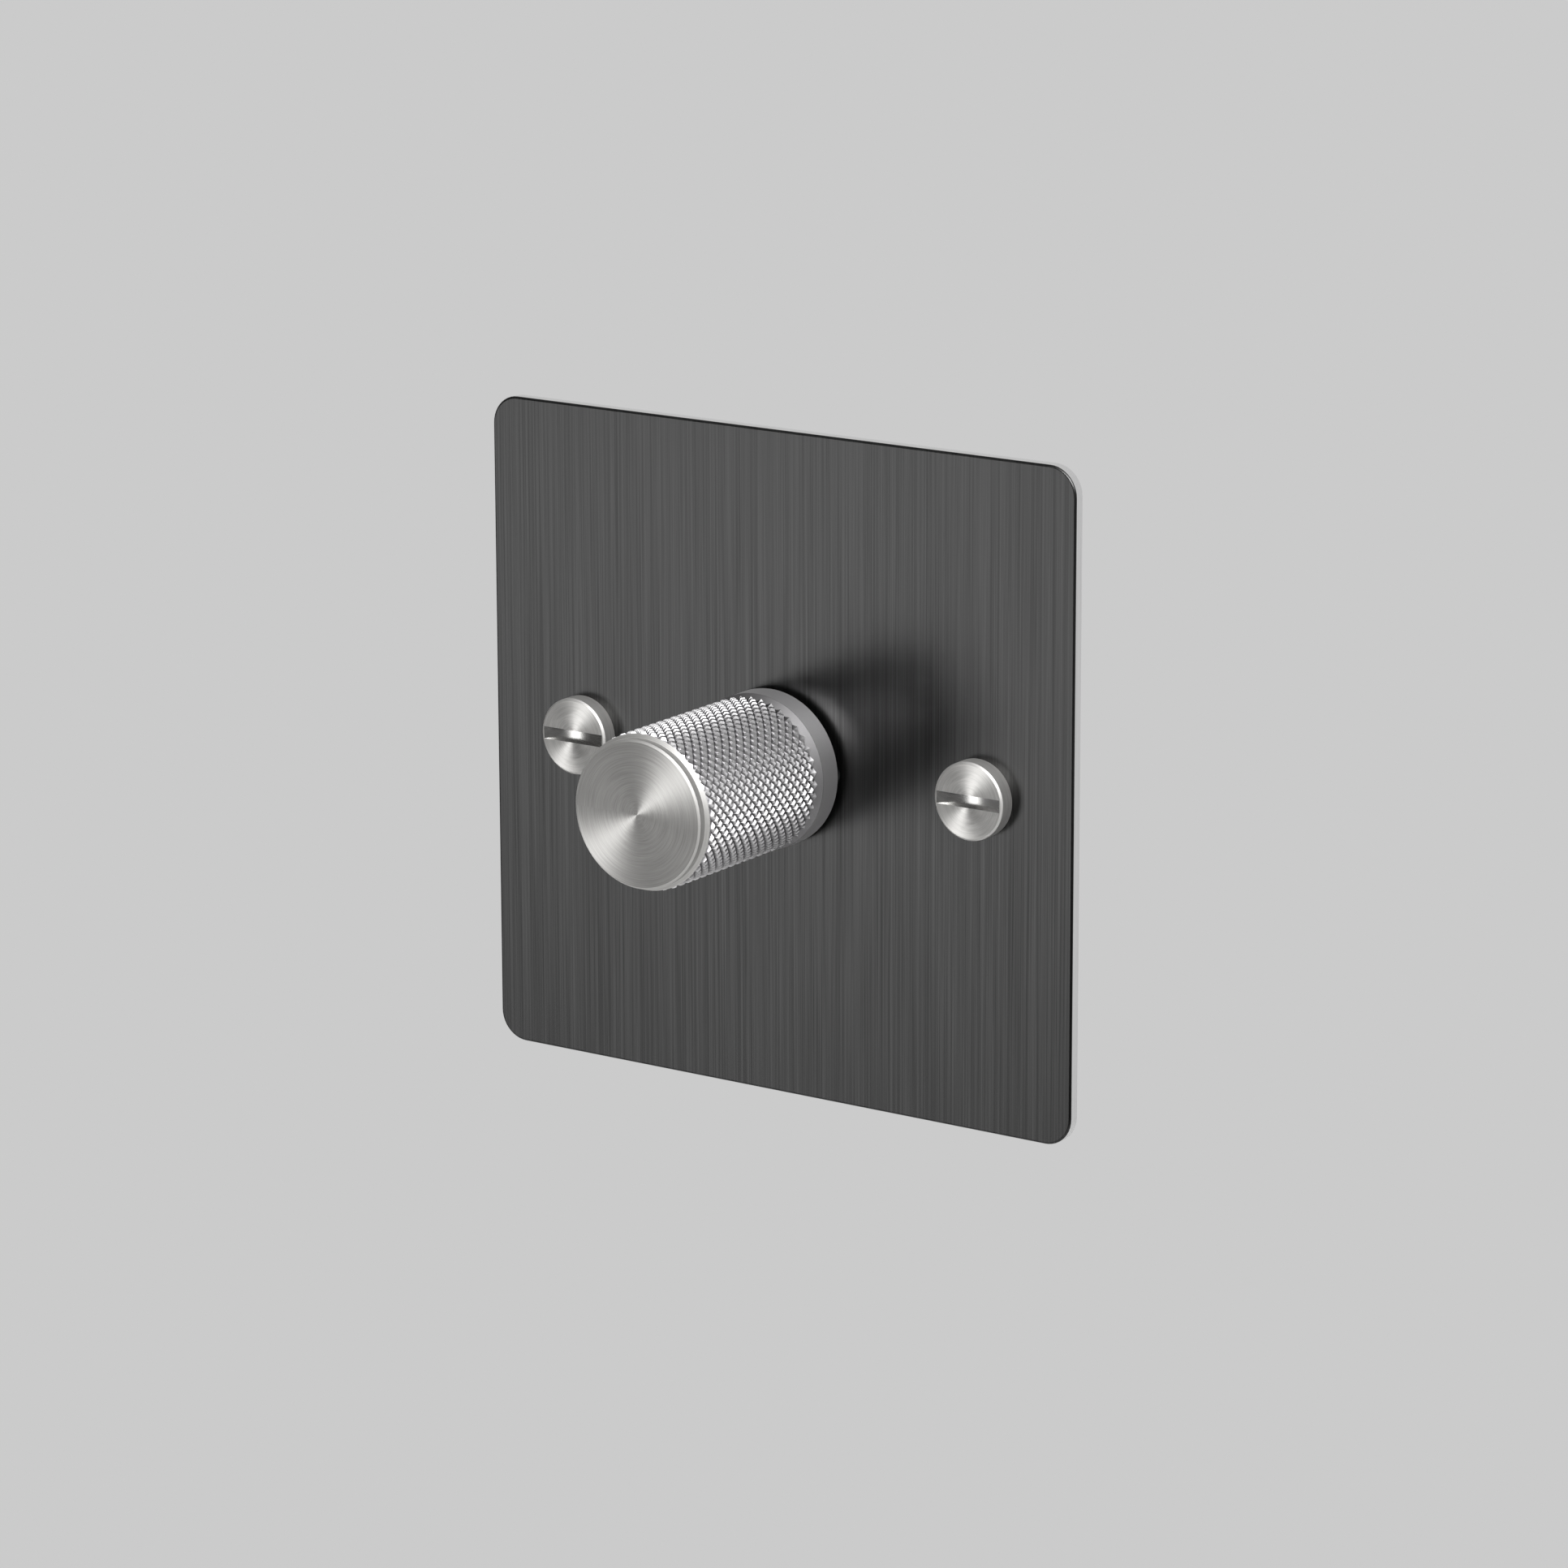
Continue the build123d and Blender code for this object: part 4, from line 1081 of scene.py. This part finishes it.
# %% Track disc finish
track_radius = 4.6 * mm
track_inside, track_outside = 1.05 * mm, 1.15 * mm  # the ink fades out between the two
fibre_size = 0.5 * mm
track, tree, output = new_material("phenolic_paper_with_carbon_track")
radius, _, _ = distance_angle_depth(tree, (0, 0))
from_track = add_node(
    tree, "ShaderNodeMath", {"operation": "SUBTRACT", 1: track_radius}, {0: radius}
)
off_track = add_node(
    tree, "ShaderNodeMath", {"operation": "ABSOLUTE"}, {0: from_track.outputs[0]}
)
printed = add_node(
    tree,
    "ShaderNodeMapRange",
    {"From Min": track_outside, "From Max": track_inside},
    {"Value": off_track.outputs[0]},
)
place = add_node(tree, "ShaderNodeTexCoord")
fibres = add_node(
    tree,
    "ShaderNodeTexNoise",
    {"Scale": 1 / fibre_size, "Detail": 4.0},
    {"Vector": place.outputs["Object"]},
)
ring = add_node(
    tree,
    "ShaderNodeMix",
    {"data_type": "RGBA", mix_high: colour("#161617")},
    {0: printed.outputs[0], mix_low: between(tree, fibres.outputs[0], "#7A5230", "#94693F")},
)
paper = add_node(
    tree,
    "ShaderNodeBsdfPrincipled",
    links={
        "Base Color": ring.outputs[mix_result],
        "Roughness": between(tree, fibres.outputs[0], 0.45, 0.6),
    },
)
tree.links.new(paper.outputs[0], output.inputs[0])
dress(track, "track_disc")

# %% [markdown]
# ## Power device
# A triac is black moulded epoxy on a tinned copper tab, with tinned legs. It is one CAD node, so
# the finish tells metal from epoxy by height: the tab lies above the body and the legs below it.

# %% Triac finish
device, tree, output = new_material("epoxy_body_with_tinned_tab")
place = add_node(tree, "ShaderNodeTexCoord")
parts = add_node(tree, "ShaderNodeSeparateXYZ", links={0: place.outputs["Object"]})
tab_height = 6.5 * mm
half_body = 4.5 * mm
epoxy_grain = 0.2 * mm
body_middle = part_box("power_triac")[1].z - tab_height - half_body
from_body = add_node(
    tree, "ShaderNodeMath", {"operation": "SUBTRACT", 1: body_middle}, {0: parts.outputs["Z"]}
)
off_body = add_node(
    tree, "ShaderNodeMath", {"operation": "ABSOLUTE"}, {0: from_body.outputs[0]}
)
tinned = add_node(
    tree,
    "ShaderNodeMapRange",
    {"From Min": half_body, "From Max": half_body + 0.02 * mm},
    {"Value": off_body.outputs[0]},
)
grain = add_node(
    tree,
    "ShaderNodeTexNoise",
    {"Scale": 1 / epoxy_grain, "Detail": 2.0},
    {"Vector": place.outputs["Object"]},
)
epoxy = add_node(
    tree,
    "ShaderNodeBsdfPrincipled",
    links={
        "Base Color": between(tree, grain.outputs[0], "#1B1B1C", "#242425"),
        "Roughness": between(tree, grain.outputs[0], 0.5, 0.65),
    },
)
tin = add_node(
    tree,
    "ShaderNodeBsdfPrincipled",
    {"Metallic": 1.0},
    {
        "Base Color": between(tree, grain.outputs[0], "#B4B5B2", "#C6C7C4"),
        "Roughness": between(tree, grain.outputs[0], 0.3, 0.4),
    },
)
whole = add_node(
    tree,
    "ShaderNodeMixShader",
    links={0: tinned.outputs[0], 1: epoxy.outputs[0], 2: tin.outputs[0]},
)
tree.links.new(whole.outputs[0], output.inputs[0])
dress(device, "power_triac")

# %% [markdown]
# ## Choke and capacitor
# The choke is a ferrite ring wound with enamelled copper. Each turn passes round the ring's
# section, so the turns show as stripes at equal angles round the ring's own axis, coloured darker
# where the wire sinks between the turns: painted shade.
# The capacitor is a film winding in a yellow flame-retardant case.

# %% Ferrite and capacitor finishes
ferrite = moulded("sintered_ferrite", "#2F3032", "#3D3E40", 0.3 * mm, 0.62, 0.6)
dress(ferrite, "choke_core")
capacitor_case = moulded("yellow_polyester_case", "#C99A1E", "#D6A82B", 0.3 * mm, 0.42, 0.3)
dress(capacitor_case, "suppression_capacitor")

# %% Enamelled winding finish
wire, tree, output = new_material("enamelled_copper_wire")
low_corner, high_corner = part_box("choke_core")
choke_centre = ((low_corner.x + high_corner.x) / 2, (low_corner.z + high_corner.z) / 2)
wire_turns = 44
_, angle, _ = distance_angle_depth(tree, choke_centre)
turn = add_node(
    tree, "ShaderNodeMath", {"operation": "MULTIPLY", 1: float(wire_turns)}, {0: angle}
)
stripe = add_node(tree, "ShaderNodeMath", {"operation": "SINE"}, {0: turn.outputs[0]})
lift = add_node(
    tree, "ShaderNodeMath", {"operation": "MULTIPLY_ADD", 1: 0.5, 2: 0.5}, {0: stripe.outputs[0]}
)
round_wire = add_node(
    tree, "ShaderNodeBump", {"Strength": 0.8, "Distance": 0.15 * mm}, {"Height": lift.outputs[0]}
)
# painted shade: the copper colour darkens with the bump's height, between the turns
enamel = add_node(
    tree,
    "ShaderNodeBsdfPrincipled",
    {"Metallic": 1.0},
    {
        "Base Color": between(tree, lift.outputs[0], "#6E3A1C", "#B8693A"),
        "Roughness": between(tree, lift.outputs[0], 0.42, 0.26),
        "Normal": round_wire.outputs[0],
    },
)
tree.links.new(enamel.outputs[0], output.inputs[0])
dress(wire, "choke_winding")
finishes = {node.data.materials[0].name for node in nodes.values()}
print(f"{len(nodes)} CAD nodes in {len(finishes)} finishes")
